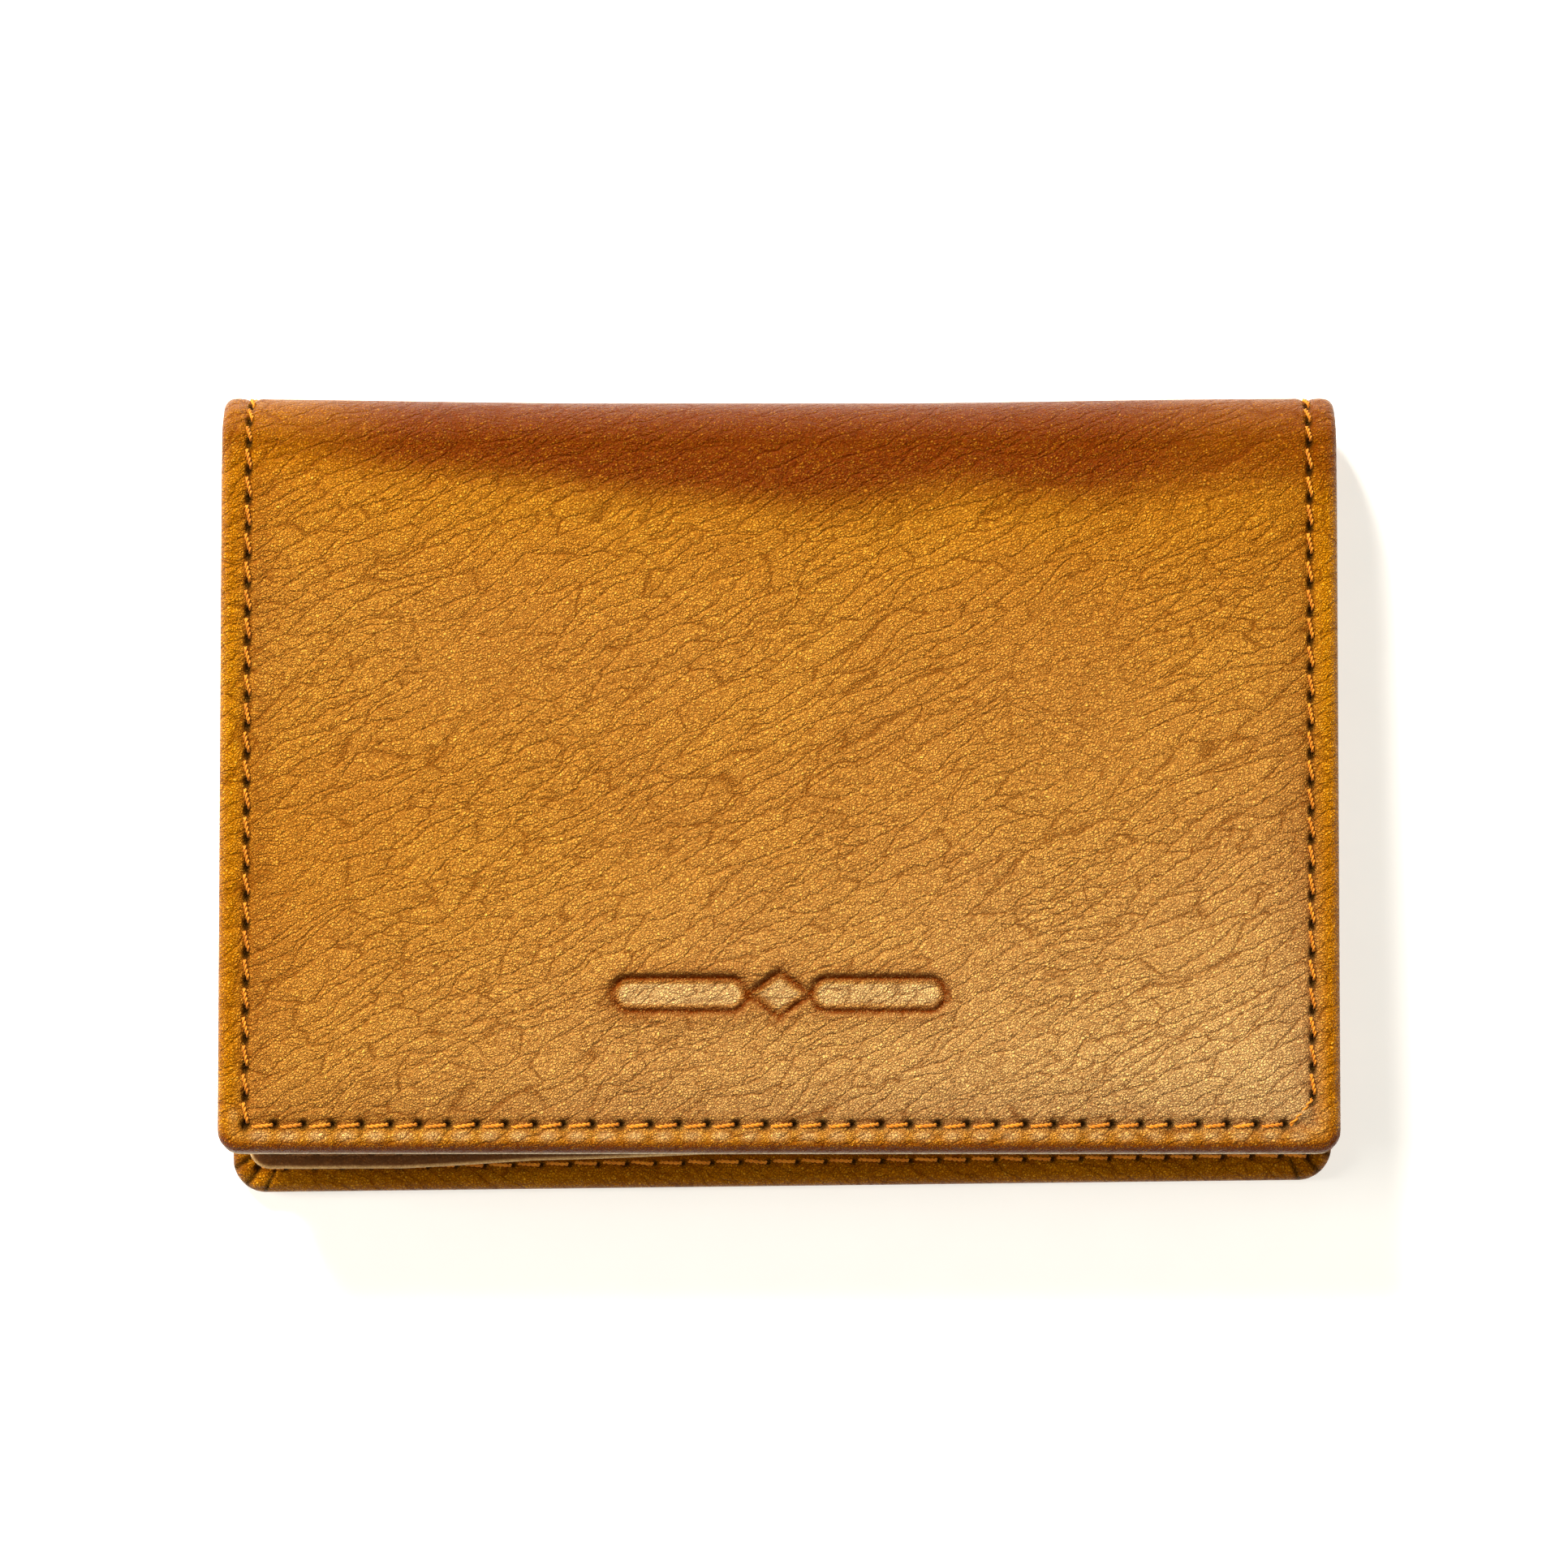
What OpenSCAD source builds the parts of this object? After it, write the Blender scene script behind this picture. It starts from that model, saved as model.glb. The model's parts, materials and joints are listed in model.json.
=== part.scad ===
// Bifold card holder: two stiffened leather leaves joined by a rounded fold,
// two card slots on each leaf and a loose centre flap with a clear window.
// Millimetres, +Z up, +X across, +Y toward the fold, rear cover lying on Z = 0.
// It is drawn closed, with the front leaf resting a little open.

/* [Overall] */
// Width across both leaves
body_w = 105; // [88:1:130]
// Front leaf from the fold to its free edge
front_len = 66.7; // [56:0.1:82]
// How much longer the rear leaf is than the front leaf
rear_extra = 3.7; // [0:0.1:8]
// Rise of the closed front leaf from the fold to its free edge, degrees
rise = 3; // [2.8:0.1:6]
// Corner radius of the front leaf
front_corner_r = 2.1; // [1.6:0.1:8]
// Corner radius of the rear leaf
rear_corner_r = 3.2; // [1.6:0.1:8]

/* [Leather and board] */
// Outer leather
cover_t = 0.9; // [0.7:0.05:1.1]
// Turned margin of the outer leather on the rear leaf
rear_turn_t = 0.6; // [0.4:0.05:0.8]
// Turned margin of the outer leather on the front leaf
front_turn_t = 0.5; // [0.4:0.05:0.6]
// Width of the turned margin
turn_w = 6; // [5:0.1:8]
// Board in the rear leaf
rear_board_t = 0.4; // [0.3:0.05:0.5]
// Foam under the front leather
padding_t = 0.7; // [0.5:0.05:0.8]
// Inner lining sheets
lining_t = 0.35; // [0.25:0.05:0.4]
// Leather of the slot panels
slot_t = 0.45; // [0.35:0.05:0.5]
// Fabric behind the upper slot
fabric_t = 0.15; // [0.1:0.05:0.25]

/* [Card slots] */
// Room for one card, across its thickness
card_gap = 0.85; // [0.8:0.01:0.9]
// Depth of a card in its slot
card_h = 54; // [50:0.5:55]
// Upper slot mouth from the fold
mouth_a = 13; // [10:0.5:18]
// Step from the upper slot mouth to the lower one
mouth_step = 11; // [10:0.5:14]
// Radius of the thumb notch in each mouth
thumb_r = 9; // [6:0.5:12]
// Depth of the thumb notch
thumb_depth = 3.2; // [1:0.1:5]
// Slot panel edge in from the leaf edge
panel_inset = 3.2; // [3:0.1:4]

/* [Centre flap] */
// Flap side edge in from the leaf edge
flap_inset = 2.3; // [1.5:0.1:6]
// How far the flap reaches past the front leaf
flap_past = 0.5; // [-6:0.1:2]
// Free space above and below the flap, at the lower slot mouths
flap_gap = 0.23; // [0.2:0.01:0.6]
// Flap leather, each side
flap_t = 0.38; // [0.3:0.01:0.42]
// Clear film in the flap
film_t = 0.14; // [0.1:0.01:0.2]
// Flap tilt at rest, degrees
flap_rise = 1.5; // [1:0.1:3]
// Frame round the window
frame_w = 8.5; // [6:0.5:14]

/* [Stitching] */
// Stitch pitch
pitch = 2.7; // [2:0.1:4]
// Thread radius of the edge rows
thread_r = 0.27; // [0.2:0.01:0.32]
// Edge row in from the front leaf edge
front_row = 2.65; // [2.2:0.05:3.5]
// Edge row in from the rear leaf edge
rear_row = 2.2; // [2:0.05:2.8]
// Slant of each stitch, degrees
slant = 7; // [0:1:10]

/* [Hidden] */
$fn = 64;
turn = 180 - rise;
strips = 4;
strip_a = turn / strips;
rear_len = front_len + rear_extra;
rear_edge_t = cover_t + rear_board_t + rear_turn_t;
front_edge_t = cover_t + padding_t + front_turn_t;
fold_edge_t = cover_t + lining_t + rear_turn_t;
join = 0.04;
join_a = 0.5;
fit = 0.03;
wall = 1.3;
bond = 0.01;
fine_r = 0.14;
row_step = 3;
groove = thread_r * 2 - 0.1;
rear_base = cover_t + rear_board_t + lining_t;
front_base = front_edge_t + lining_t;
side_w = turn_w - panel_inset;
wall_a = card_h + 4.5;
hinge_d = 2.3;
flap_all_t = 2 * flap_t + film_t;
flap_w = body_w - 2 * flap_inset;
flap_len = front_len + flap_past;
mouth_b = mouth_a + mouth_step;
rear_top = rear_base + 2 * (card_gap + slot_t);
front_top = front_base + 2 * (card_gap + slot_t);
hinge_z = rear_top + flap_gap + flap_all_t / 2 - (mouth_b - hinge_d) * sin(flap_rise);
fold_room = rear_top + front_top * cos(rise) + flap_all_t + 2 * flap_gap;
fold_r = (fold_room - mouth_b * sin(rise)) / (1 + cos(rise));
depth = rear_len + fold_r;
fold_y = depth / 2 - fold_r;

TAN = [0.76, 0.49, 0.2];
DARK_TAN = [0.6, 0.36, 0.14];
CREAM = [0.86, 0.8, 0.68];
BOARD = [0.7, 0.68, 0.62];
FOAM = [0.93, 0.92, 0.88];
CLOTH = [0.32, 0.22, 0.14];
THREAD = [0.85, 0.52, 0.15];
CLEAR = [0.85, 0.92, 0.95];

// ---- Places: each leaf is drawn flat, its fold edge at Y = 0, its outer face at Z = 0 ----

module on_rear() {
    translate([0, fold_y, 0])
        mirror([0, 1, 0])
            children();
}

module on_front() {
    translate([0, fold_y + fold_r * sin(turn), fold_r - fold_r * cos(turn)])
        rotate([turn, 0, 0])
            children();
}

module on_flap() {
    translate([0, fold_y - hinge_d, hinge_z])
        rotate([-flap_rise, 0, 0])
            mirror([0, 1, 0])
                children();
}

// A section drawn as (radius, x), swept round the fold over one of its strips.
module on_fold(strip) {
    translate([0, fold_y, fold_r])
        rotate([0, 90, 0])
            rotate([0, 0, strip * strip_a + join_a / 2])
                rotate_extrude(angle = strip_a - join_a)
                    children();
}

// ---- Shared shapes ----

// Flat sheet with two rounded corners at its free edge.
module sheet(w, from, to, r, t) {
    translate([-w / 2, from, 0])
        cube([w, to - r - from, t]);
    translate([-w / 2 + r, to - r - 1, 0])
        cube([w - 2 * r, r + 1, t]);
    for (s = [-1, 1])
        translate([s * (w / 2 - r), to - r, 0])
            cylinder(h = t, r = r);
}

// Leaf of folded leather: half-round along both sides and the free edge.
module rolled_slab(w, len, r, t) {
    b = t / 2;
    linear_extrude(height = t) {
        translate([-w / 2 + r, join])
            square([w - 2 * r, len - b - join]);
        translate([-w / 2 + b, join])
            square([w - t, len - r - join]);
    }
    for (s = [0, 1])
        mirror([s, 0, 0]) {
            translate([w / 2 - b, join, b])
                rotate([-90, 0, 0])
                    linear_extrude(height = len - r - join)
                        half_disc(b);
            translate([w / 2 - r, len - r, 0])
                rotate_extrude(angle = 90)
                    rolled_half(r, b);
        }
    translate([-w / 2 + r, len - b, b])
        rotate([90, 0, 90])
            linear_extrude(height = w - 2 * r)
                half_disc(b);
}

module half_disc(b) {
    intersection() {
        circle(b);
        translate([0, -b])
            square([b, 2 * b]);
    }
}

module rolled_half(r, b) {
    square([r - b, 2 * b]);
    translate([r - b, b])
        half_disc(b);
}

// Channel along the edge row, cut into a face at z with the given depth.
module row_channel(w, len, inset, z, deep) {
    c = groove / 2 + 0.2;
    x = w / 2 - inset;
    for (s = [-1, 1])
        translate([s * x - c, -1, z])
            cube([2 * c, len - inset + c + 1, deep]);
    translate([-x - c, len - inset - c, z])
        cube([2 * x + 2 * c, 2 * c, deep]);
}

// One stitch lying along Y.
module stitch(r, len) {
    rotate([-90, 0, 0])
        cylinder(h = len, r = r, center = true);
}

// Edge row on both sides and the free edge, thread axis at z.
module edge_row(w, len, inset, z) {
    x = w / 2 - inset;
    y_end = len - inset - pitch / 2;
    n_side = floor(y_end / pitch);
    n_end = floor((2 * x - 0.6) / pitch);
    for (s = [-1, 1], i = [0 : n_side - 1])
        translate([s * x, y_end - i * pitch, z])
            rotate([0, 0, slant])
                stitch(thread_r, pitch * 0.72);
    for (i = [0 : n_end - 1])
        translate([(i - (n_end - 1) / 2) * pitch, len - inset, z])
            rotate([0, 0, 90 + slant])
                stitch(thread_r, pitch * 0.72);
}

// Straight row of fine stitches along X at y.
module fine_row(half, y, z) {
    n = floor(2 * half / row_step);
    for (i = [0 : n - 1])
        translate([(i - (n - 1) / 2) * row_step, y, z])
            rotate([0, 0, 90])
                stitch(fine_r, row_step * 0.7);
}

// Straight row of fine stitches along Y between two distances, on both sides.
module fine_sides(x, from, to, z) {
    n = floor((to - from) / row_step);
    for (s = [-1, 1], i = [0 : n - 1])
        translate([s * x, from + (i + 0.5) * row_step, z])
            stitch(fine_r, row_step * 0.7);
}

module fine_channel_x(half, y, z) {
    translate([-half, y - 0.2, z])
        cube([2 * half, 0.4, 1]);
}

module fine_channel_y(x, from, to, z) {
    for (s = [-1, 1])
        translate([s * x - 0.2, from, z])
            cube([0.4, to - from, 1]);
}

// Thumb notch in a mouth at y, through a sheet from z upward.
module thumb_notch(y, z) {
    translate([0, y - (thumb_r - thumb_depth), z - 0.5])
        cylinder(h = slot_t + 1, r = thumb_r);
}

// ---- Leaf pieces, shared by both leaves ----

module cover(w, len, r, t, inner_t, row, row_inside) {
    turned_z = cover_t + inner_t;
    difference() {
        rolled_slab(w, len, r, t);
        translate([0, 0, cover_t])
            sheet(w - 2 * wall, -1, len - wall, max(r - wall, 0.4), inner_t);
        translate([0, 0, turned_z - 0.01])
            sheet(w - 2 * turn_w, -1, len - turn_w, 1, t);
        if (row_inside)
            row_channel(w, len, row, t - groove, 1);
        else
            row_channel(w, len, row, -1, 1 + groove);
    }
}

// Leather strip of the upper slot, sewn down along its two short ends.
module slot_panel_a(len, base, edge) {
    z = base + card_gap;
    w = body_w - 2 * panel_inset;
    x = w / 2 - 1.2;
    to = mouth_a + mouth_step + 2;
    difference() {
        union() {
            translate([-w / 2, mouth_a, z])
                cube([w, to - mouth_a, slot_t]);
            for (s = [0, 1])
                mirror([s, 0, 0])
                    translate([w / 2 - side_w, mouth_a, edge + bond])
                        cube([side_w, to - mouth_a, z - edge]);
        }
        thumb_notch(mouth_a, z);
        fine_channel_x(w / 2 - side_w, mouth_a + 1.5, z + slot_t - 0.22);
        fine_channel_y(x, mouth_a + 1, mouth_a + mouth_step - 1, z + slot_t - 0.22);
    }
}

// Fabric that carries on below the upper strip and closes the bottom of its slot.
module slot_backing(len, base, edge) {
    z = base + card_gap;
    w = body_w - 2 * panel_inset;
    from = mouth_a + mouth_step + 2 + fit;
    translate([-w / 2, from, z])
        cube([w, wall_a + 0.5 - from, fabric_t]);
    for (s = [0, 1])
        mirror([s, 0, 0])
            translate([w / 2 - side_w, from, edge + bond])
                cube([side_w, wall_a + 0.5 - from, z - edge]);
    translate([-w / 2 + side_w + fit, wall_a, base + bond])
        cube([w - 2 * side_w - 2 * fit, 0.5, z - base]);
}

// Leather panel of the lower slot, sewn down on three sides.
module slot_panel_b(len, base, edge) {
    mouth = mouth_a + mouth_step;
    z = base + 2 * card_gap + slot_t;
    low = base + card_gap;
    w = body_w - 2 * panel_inset;
    to = len - panel_inset;
    x = w / 2 - 1.2;
    difference() {
        union() {
            translate([0, 0, z])
                sheet(w, mouth, to, 1.2, slot_t);
            for (s = [0, 1])
                mirror([s, 0, 0]) {
                    translate([w / 2 - side_w, mouth, low + slot_t + bond])
                        cube([side_w, 2 + fit, z - low - slot_t]);
                    translate([w / 2 - side_w, mouth + 2 + fit, low + fabric_t + bond])
                        cube([side_w, wall_a + 0.5 - mouth - 2, z - low - fabric_t]);
                }
            translate([0, 0, edge + bond])
                intersection() {
                    sheet(w, mouth, to, 1.2, z - edge);
                    difference() {
                        translate([-w / 2, wall_a + 0.5 + fit, 0])
                            cube([w, to, z - edge]);
                        translate([-w / 2 + side_w, 0, -1])
                            cube([w - 2 * side_w, len - turn_w, z]);
                    }
                }
        }
        thumb_notch(mouth, z);
        fine_channel_x(w / 2 - side_w, mouth + 1.5, z + slot_t - 0.22);
        fine_channel_y(x, mouth + 1, to - 1, z + slot_t - 0.22);
        fine_channel_x(x + 0.2, to - 1.2, z + slot_t - 0.22);
    }
}

module slot_rows(len, base) {
    mouth = mouth_a + mouth_step;
    half = body_w / 2 - panel_inset - side_w;
    x = body_w / 2 - panel_inset - 1.2;
    z_a = base + card_gap + slot_t - 0.22 + fine_r + bond;
    z_b = z_a + card_gap + slot_t;
    to = len - panel_inset;
    notch = sqrt(thumb_r * thumb_r - pow(thumb_r - thumb_depth + 1.5, 2)) + 1.6;
    difference() {
        union() {
            fine_row(half - 0.3, mouth_a + 1.5, z_a);
            fine_row(half - 0.3, mouth + 1.5, z_b);
        }
        for (y = [mouth_a, mouth])
            translate([-notch, y, 0])
                cube([2 * notch, 3, 20]);
    }
    fine_sides(x, mouth_a + 1.2, mouth - 1.2, z_a);
    fine_sides(x, mouth + 1.2, to - 1.5, z_b);
    fine_row(x - 0.3, to - 1.2, z_b);
}

// ---- Rear leaf ----

module rear_cover() {
    color(TAN)
        on_rear()
            cover(body_w, rear_len, rear_corner_r, rear_edge_t, rear_board_t, rear_row, true);
}

module rear_stiffener() {
    in = wall + 2 * fit;
    color(BOARD)
        on_rear()
            translate([0, 0, cover_t + bond])
                sheet(body_w - 2 * in, 0.3, rear_len - in, max(rear_corner_r - in, 0.4),
                    rear_board_t - 2 * bond);
}

module rear_lining() {
    in = turn_w + fit;
    color(DARK_TAN)
        on_rear()
            translate([0, 0, cover_t + rear_board_t])
                sheet(body_w - 2 * in, join, rear_len - in, 1, lining_t);
}

module rear_slot_panel_a() {
    color(TAN)
        on_rear()
            slot_panel_a(rear_len, rear_base, rear_edge_t);
}

module rear_slot_backing() {
    color(CLOTH)
        on_rear()
            slot_backing(rear_len, rear_base, rear_edge_t);
}

module rear_slot_panel_b() {
    color(TAN)
        on_rear()
            slot_panel_b(rear_len, rear_base, rear_edge_t);
}

module rear_edge_stitching() {
    color(THREAD)
        on_rear()
            edge_row(body_w, rear_len, rear_row, rear_edge_t - groove + thread_r + bond);
}

module rear_slot_stitching() {
    color(THREAD)
        on_rear()
            slot_rows(rear_len, rear_base);
}

// Angle of thin leather: its foot is glued to the rear lining, its lip carries the flap.
module flap_hinge_strip() {
    foot = 0.45;
    w = flap_w - 8;
    color(DARK_TAN)
        on_rear() {
            translate([-w / 2, 0.4, rear_base + bond])
                cube([w, 3, foot]);
            translate([-w / 2, hinge_d - 0.3, rear_base + bond])
                cube([w, 0.6, hinge_z - rear_base - 0.2]);
        }
}

// ---- Fold: four strips of one continuous leather ----

module fold_cover(strip) {
    b = fold_edge_t / 2;
    c = groove / 2 + 0.2;
    half = body_w / 2;
    on_fold(strip)
        difference() {
            union() {
                translate([fold_r - fold_edge_t, -half + b])
                    square([fold_edge_t, body_w - 2 * b]);
                for (s = [-1, 1])
                    translate([fold_r - b, s * (half - b)])
                        circle(b);
            }
            translate([fold_r - cover_t - lining_t, -half + wall])
                square([lining_t, body_w - 2 * wall]);
            translate([fold_r - fold_edge_t - 1, -half + turn_w])
                square([fold_edge_t - cover_t - lining_t + 1.01, body_w - 2 * turn_w]);
            for (s = [-1, 1])
                translate([fold_r - groove, s * (half - front_row) - c])
                    square([groove + 1, 2 * c]);
        }
}

module fold_lining(strip) {
    in = wall + fit;
    on_fold(strip)
        translate([fold_r - cover_t - lining_t + bond, -body_w / 2 + in])
            square([lining_t - 2 * bond, body_w - 2 * in]);
}

module fold_row(strip) {
    n = max(1, round(fold_r * strip_a * PI / 180 / pitch));
    step = strip_a / n;
    len = min(2 * fold_r * sin(step / 2) * 0.74, pitch * 0.72);
    for (s = [-1, 1], i = [0 : n - 1])
        translate([s * (body_w / 2 - front_row), fold_y, fold_r])
            rotate([strip * strip_a + (i + 0.5) * step, 0, 0])
                translate([0, 0, -fold_r + groove - thread_r - bond])
                    rotate([0, 0, slant])
                        stitch(thread_r, len);
}

module spine_cover_lower() {
    color(TAN)
        fold_cover(0);
}

module spine_lining_lower() {
    color(DARK_TAN)
        fold_lining(0);
}

module spine_stitching_lower() {
    color(THREAD)
        fold_row(0);
}

module spine_cover_mid_lower() {
    color(TAN)
        fold_cover(1);
}

module spine_lining_mid_lower() {
    color(DARK_TAN)
        fold_lining(1);
}

module spine_stitching_mid_lower() {
    color(THREAD)
        fold_row(1);
}

module spine_cover_mid_upper() {
    color(TAN)
        fold_cover(2);
}

module spine_lining_mid_upper() {
    color(DARK_TAN)
        fold_lining(2);
}

module spine_stitching_mid_upper() {
    color(THREAD)
        fold_row(2);
}

module spine_cover_upper() {
    color(TAN)
        fold_cover(3);
}

module spine_lining_upper() {
    color(DARK_TAN)
        fold_lining(3);
}

module spine_stitching_upper() {
    color(THREAD)
        fold_row(3);
}

// ---- Front leaf ----

module front_cover() {
    color(TAN)
        on_front()
            cover(body_w, front_len, front_corner_r, front_edge_t, padding_t, front_row, false);
}

module front_padding() {
    in = wall + 2 * fit;
    color(FOAM)
        on_front()
            translate([0, 0, cover_t + bond])
                sheet(body_w - 2 * in, 0.3, front_len - in, max(front_corner_r - in, 0.4),
                    padding_t - 2 * bond);
}

module front_stiffener() {
    in = turn_w + fit;
    color(BOARD)
        on_front()
            translate([0, 0, cover_t + padding_t])
                sheet(body_w - 2 * in, 1.5, front_len - in, 0.9, front_turn_t - bond);
}

module front_lining() {
    in = 0.25;
    color(CREAM)
        on_front()
            translate([0, 0, front_edge_t + bond])
                sheet(body_w - 2 * in, join, front_len - in, front_corner_r - in, lining_t - bond);
}

module front_slot_panel_a() {
    color(TAN)
        on_front()
            slot_panel_a(front_len, front_base, front_base);
}

module front_slot_backing() {
    color(CLOTH)
        on_front()
            slot_backing(front_len, front_base, front_base);
}

module front_slot_panel_b() {
    color(TAN)
        on_front()
            slot_panel_b(front_len, front_base, front_base);
}

module front_edge_stitching() {
    color(THREAD)
        on_front()
            edge_row(body_w, front_len, front_row, groove - thread_r - bond);
}

module front_slot_stitching() {
    color(THREAD)
        on_front()
            slot_rows(front_len, front_base);
}

// ---- Centre flap: back leather, clear film, front leather with a window ----

module flap_back_panel() {
    color(DARK_TAN)
        on_flap()
            translate([0, 0, -flap_all_t / 2])
                union() {
                    sheet(flap_w, 1.2, flap_len - hinge_d, 1.8, flap_t - bond);
                    translate([-flap_w / 2 + 4, 0.35, flap_all_t / 2 - 0.35])
                        cube([flap_w - 8, 1.5, flap_t - 0.1]);
                }
}

module flap_window() {
    in = 2.6;
    color(CLEAR, 0.5)
        on_flap()
            translate([0, 0, -flap_all_t / 2 + flap_t])
                sheet(flap_w - 2 * in, 4, flap_len - hinge_d - in, 1, film_t);
}

module flap_front_panel() {
    len = flap_len - hinge_d;
    edge = 1.2;
    color(TAN)
        on_flap()
            translate([0, 0, -flap_all_t / 2 + flap_t + film_t + bond])
                difference() {
                    sheet(flap_w, edge + 0.8, len, 1.8, flap_t - bond);
                    translate([-flap_w / 2 + frame_w, 9, -1])
                        cube([flap_w - 2 * frame_w, len - 9 - frame_w, 3]);
                    fine_channel_y(flap_w / 2 - edge, 3, len - edge, flap_t - 0.24);
                    fine_channel_x(flap_w / 2 - edge + 0.2, len - edge, flap_t - 0.24);
                }
}

module flap_stitching() {
    len = flap_len - hinge_d;
    edge = 1.2;
    z = flap_all_t / 2 - 0.22 + fine_r;
    color(THREAD)
        on_flap() {
            fine_sides(flap_w / 2 - edge, 3.2, len - edge - 0.3, z);
            fine_row(flap_w / 2 - edge - 0.3, len - edge, z);
        }
}

// ---- Nodes ----

rear_cover();
rear_stiffener();
rear_lining();
rear_slot_panel_a();
rear_slot_backing();
rear_slot_panel_b();
rear_edge_stitching();
rear_slot_stitching();
flap_hinge_strip();
spine_cover_lower();
spine_lining_lower();
spine_stitching_lower();
spine_cover_mid_lower();
spine_lining_mid_lower();
spine_stitching_mid_lower();
spine_cover_mid_upper();
spine_lining_mid_upper();
spine_stitching_mid_upper();
spine_cover_upper();
spine_lining_upper();
spine_stitching_upper();
front_cover();
front_padding();
front_stiffener();
front_lining();
front_slot_panel_a();
front_slot_backing();
front_slot_panel_b();
front_edge_stitching();
front_slot_stitching();
flap_front_panel();
flap_window();
flap_back_panel();
flap_stitching();
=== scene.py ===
import json
import math

import bpy
import numpy as np
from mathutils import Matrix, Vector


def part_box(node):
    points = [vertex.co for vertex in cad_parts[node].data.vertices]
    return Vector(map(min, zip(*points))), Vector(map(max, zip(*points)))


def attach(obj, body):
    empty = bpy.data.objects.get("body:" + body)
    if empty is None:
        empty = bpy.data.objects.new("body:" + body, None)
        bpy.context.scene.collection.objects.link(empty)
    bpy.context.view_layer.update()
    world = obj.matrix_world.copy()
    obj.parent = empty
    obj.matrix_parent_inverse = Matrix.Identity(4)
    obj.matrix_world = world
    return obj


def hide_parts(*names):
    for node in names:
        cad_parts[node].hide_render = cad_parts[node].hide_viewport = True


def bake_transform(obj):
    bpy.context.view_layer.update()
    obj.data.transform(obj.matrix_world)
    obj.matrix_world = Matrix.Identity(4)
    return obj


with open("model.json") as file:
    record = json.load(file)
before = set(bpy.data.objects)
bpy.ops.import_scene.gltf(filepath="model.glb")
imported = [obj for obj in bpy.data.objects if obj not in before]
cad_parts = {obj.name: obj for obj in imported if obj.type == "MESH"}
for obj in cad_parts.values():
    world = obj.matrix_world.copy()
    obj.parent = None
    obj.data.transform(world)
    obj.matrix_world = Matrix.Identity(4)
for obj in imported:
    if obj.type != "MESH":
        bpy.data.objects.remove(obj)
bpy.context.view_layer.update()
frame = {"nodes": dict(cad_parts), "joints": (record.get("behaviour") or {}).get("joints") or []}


# ---- Table, light and camera ----
# The closed card holder lies on its rear cover on a plain pale table, its fold
# away from the viewer. The strongest soft box stands behind it, weaker ones to
# its left and above, and the camera looks straight down.

camera = bpy.data.objects.new("camera", bpy.data.cameras.new("camera"))
camera.data.lens = 115.0
camera.data.sensor_width = 36.0
camera.data.clip_start = 0.01
camera.location = (0.00046, 0.0009, 0.480)
bpy.context.scene.collection.objects.link(camera)
bpy.context.scene.camera = camera

scene = bpy.context.scene
scene.view_settings.view_transform = "Standard"
scene.view_settings.look = "None"


def add(tree, kind, inputs=(), **settings):
    """A shader node with its settings and its inputs, each a value or a socket to link."""
    made = tree.nodes.new("ShaderNode" + kind)
    for name, value in settings.items():
        setattr(made, name, value)
    for key, value in dict(inputs).items():
        if isinstance(value, bpy.types.NodeSocket):
            tree.links.new(value, made.inputs[key])
        else:
            made.inputs[key].default_value = value
    return made.outputs


def new_finish(name):
    """An empty node material: its tree and its Principled shader's inputs."""
    material = bpy.data.materials.new(name)
    material.use_nodes = True
    tree = material.node_tree
    return material, tree, tree.nodes["Principled BSDF"].inputs


# The walls of the studio are pale behind and beside the object and dim in front of it.
world = bpy.data.worlds.new("studio")
world.use_nodes = True
tree = world.node_tree
way = add(tree, "SeparateXYZ", {0: add(tree, "TexCoord")["Generated"]})
behind = add(tree, "MapRange", {"Value": way[1], "From Min": -0.6, "From Max": 0.9,
                                "To Min": 0.04, "To Max": 0.36})[0]
low_down = add(tree, "MapRange", {"Value": way[2], "From Min": 0.0, "From Max": 0.6,
                                  "To Min": 1.3, "To Max": 0.75})[0]
glow = add(tree, "Math", {0: behind, 1: low_down}, operation="MULTIPLY")[0]
walls = tree.nodes["Background"].inputs
walls["Color"].default_value = (1.0, 0.96, 0.86, 1)
tree.links.new(glow, walls["Strength"])
scene.world = world


def soft_box(name, place_at, size, power, tint=(1.0, 0.95, 0.84)):
    light = bpy.data.lights.new(name, "AREA")
    light.shape = "SQUARE"
    light.size = size
    light.energy = power
    light.color = tint
    lamp = bpy.data.objects.new(name, light)
    lamp.location = place_at
    aim = -lamp.location.normalized()
    lamp.rotation_euler = aim.to_track_quat("-Z", "Y").to_euler()
    scene.collection.objects.link(lamp)


soft_box("back_box", (-0.42, 0.80, 0.56), 0.28, 30.0)
soft_box("left_box", (-0.85, 0.10, 0.50), 0.34, 5.0)
soft_box("top_box", (0.36, -0.18, 0.94), 0.26, 6.0)

# The table lies just below the origin, clear of the thread under the rear cover,
# and gives off a little light of its own, which keeps the shadow on it faint.
table_half, table_z = 2, -0.0003
table_top = bpy.data.meshes.new("table_top")
table_top.from_pydata([(x * table_half, y * table_half, table_z)
                       for x, y in ((-1, -1), (1, -1), (1, 1), (-1, 1))], [], [(0, 1, 2, 3)])
table = bpy.data.objects.new("table_top", table_top)
scene.collection.objects.link(table)
table_paint, tree, shader = new_finish("white_table")
speck = add(tree, "TexNoise", {"Scale": 900.0, "Detail": 3.0})
tone = add(tree, "MapRange", {"Value": speck["Fac"], "To Min": 0.90, "To Max": 0.94})
grey = add(tree, "CombineColor", {0: tone[0], 1: tone[0], 2: tone[0]})
tree.links.new(grey[0], shader["Base Color"])
shader["Roughness"].default_value = 0.8
shader["Emission Color"].default_value = (1, 1, 1, 1)
shader["Emission Strength"].default_value = 0.22
table_top.materials.append(table_paint)


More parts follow.
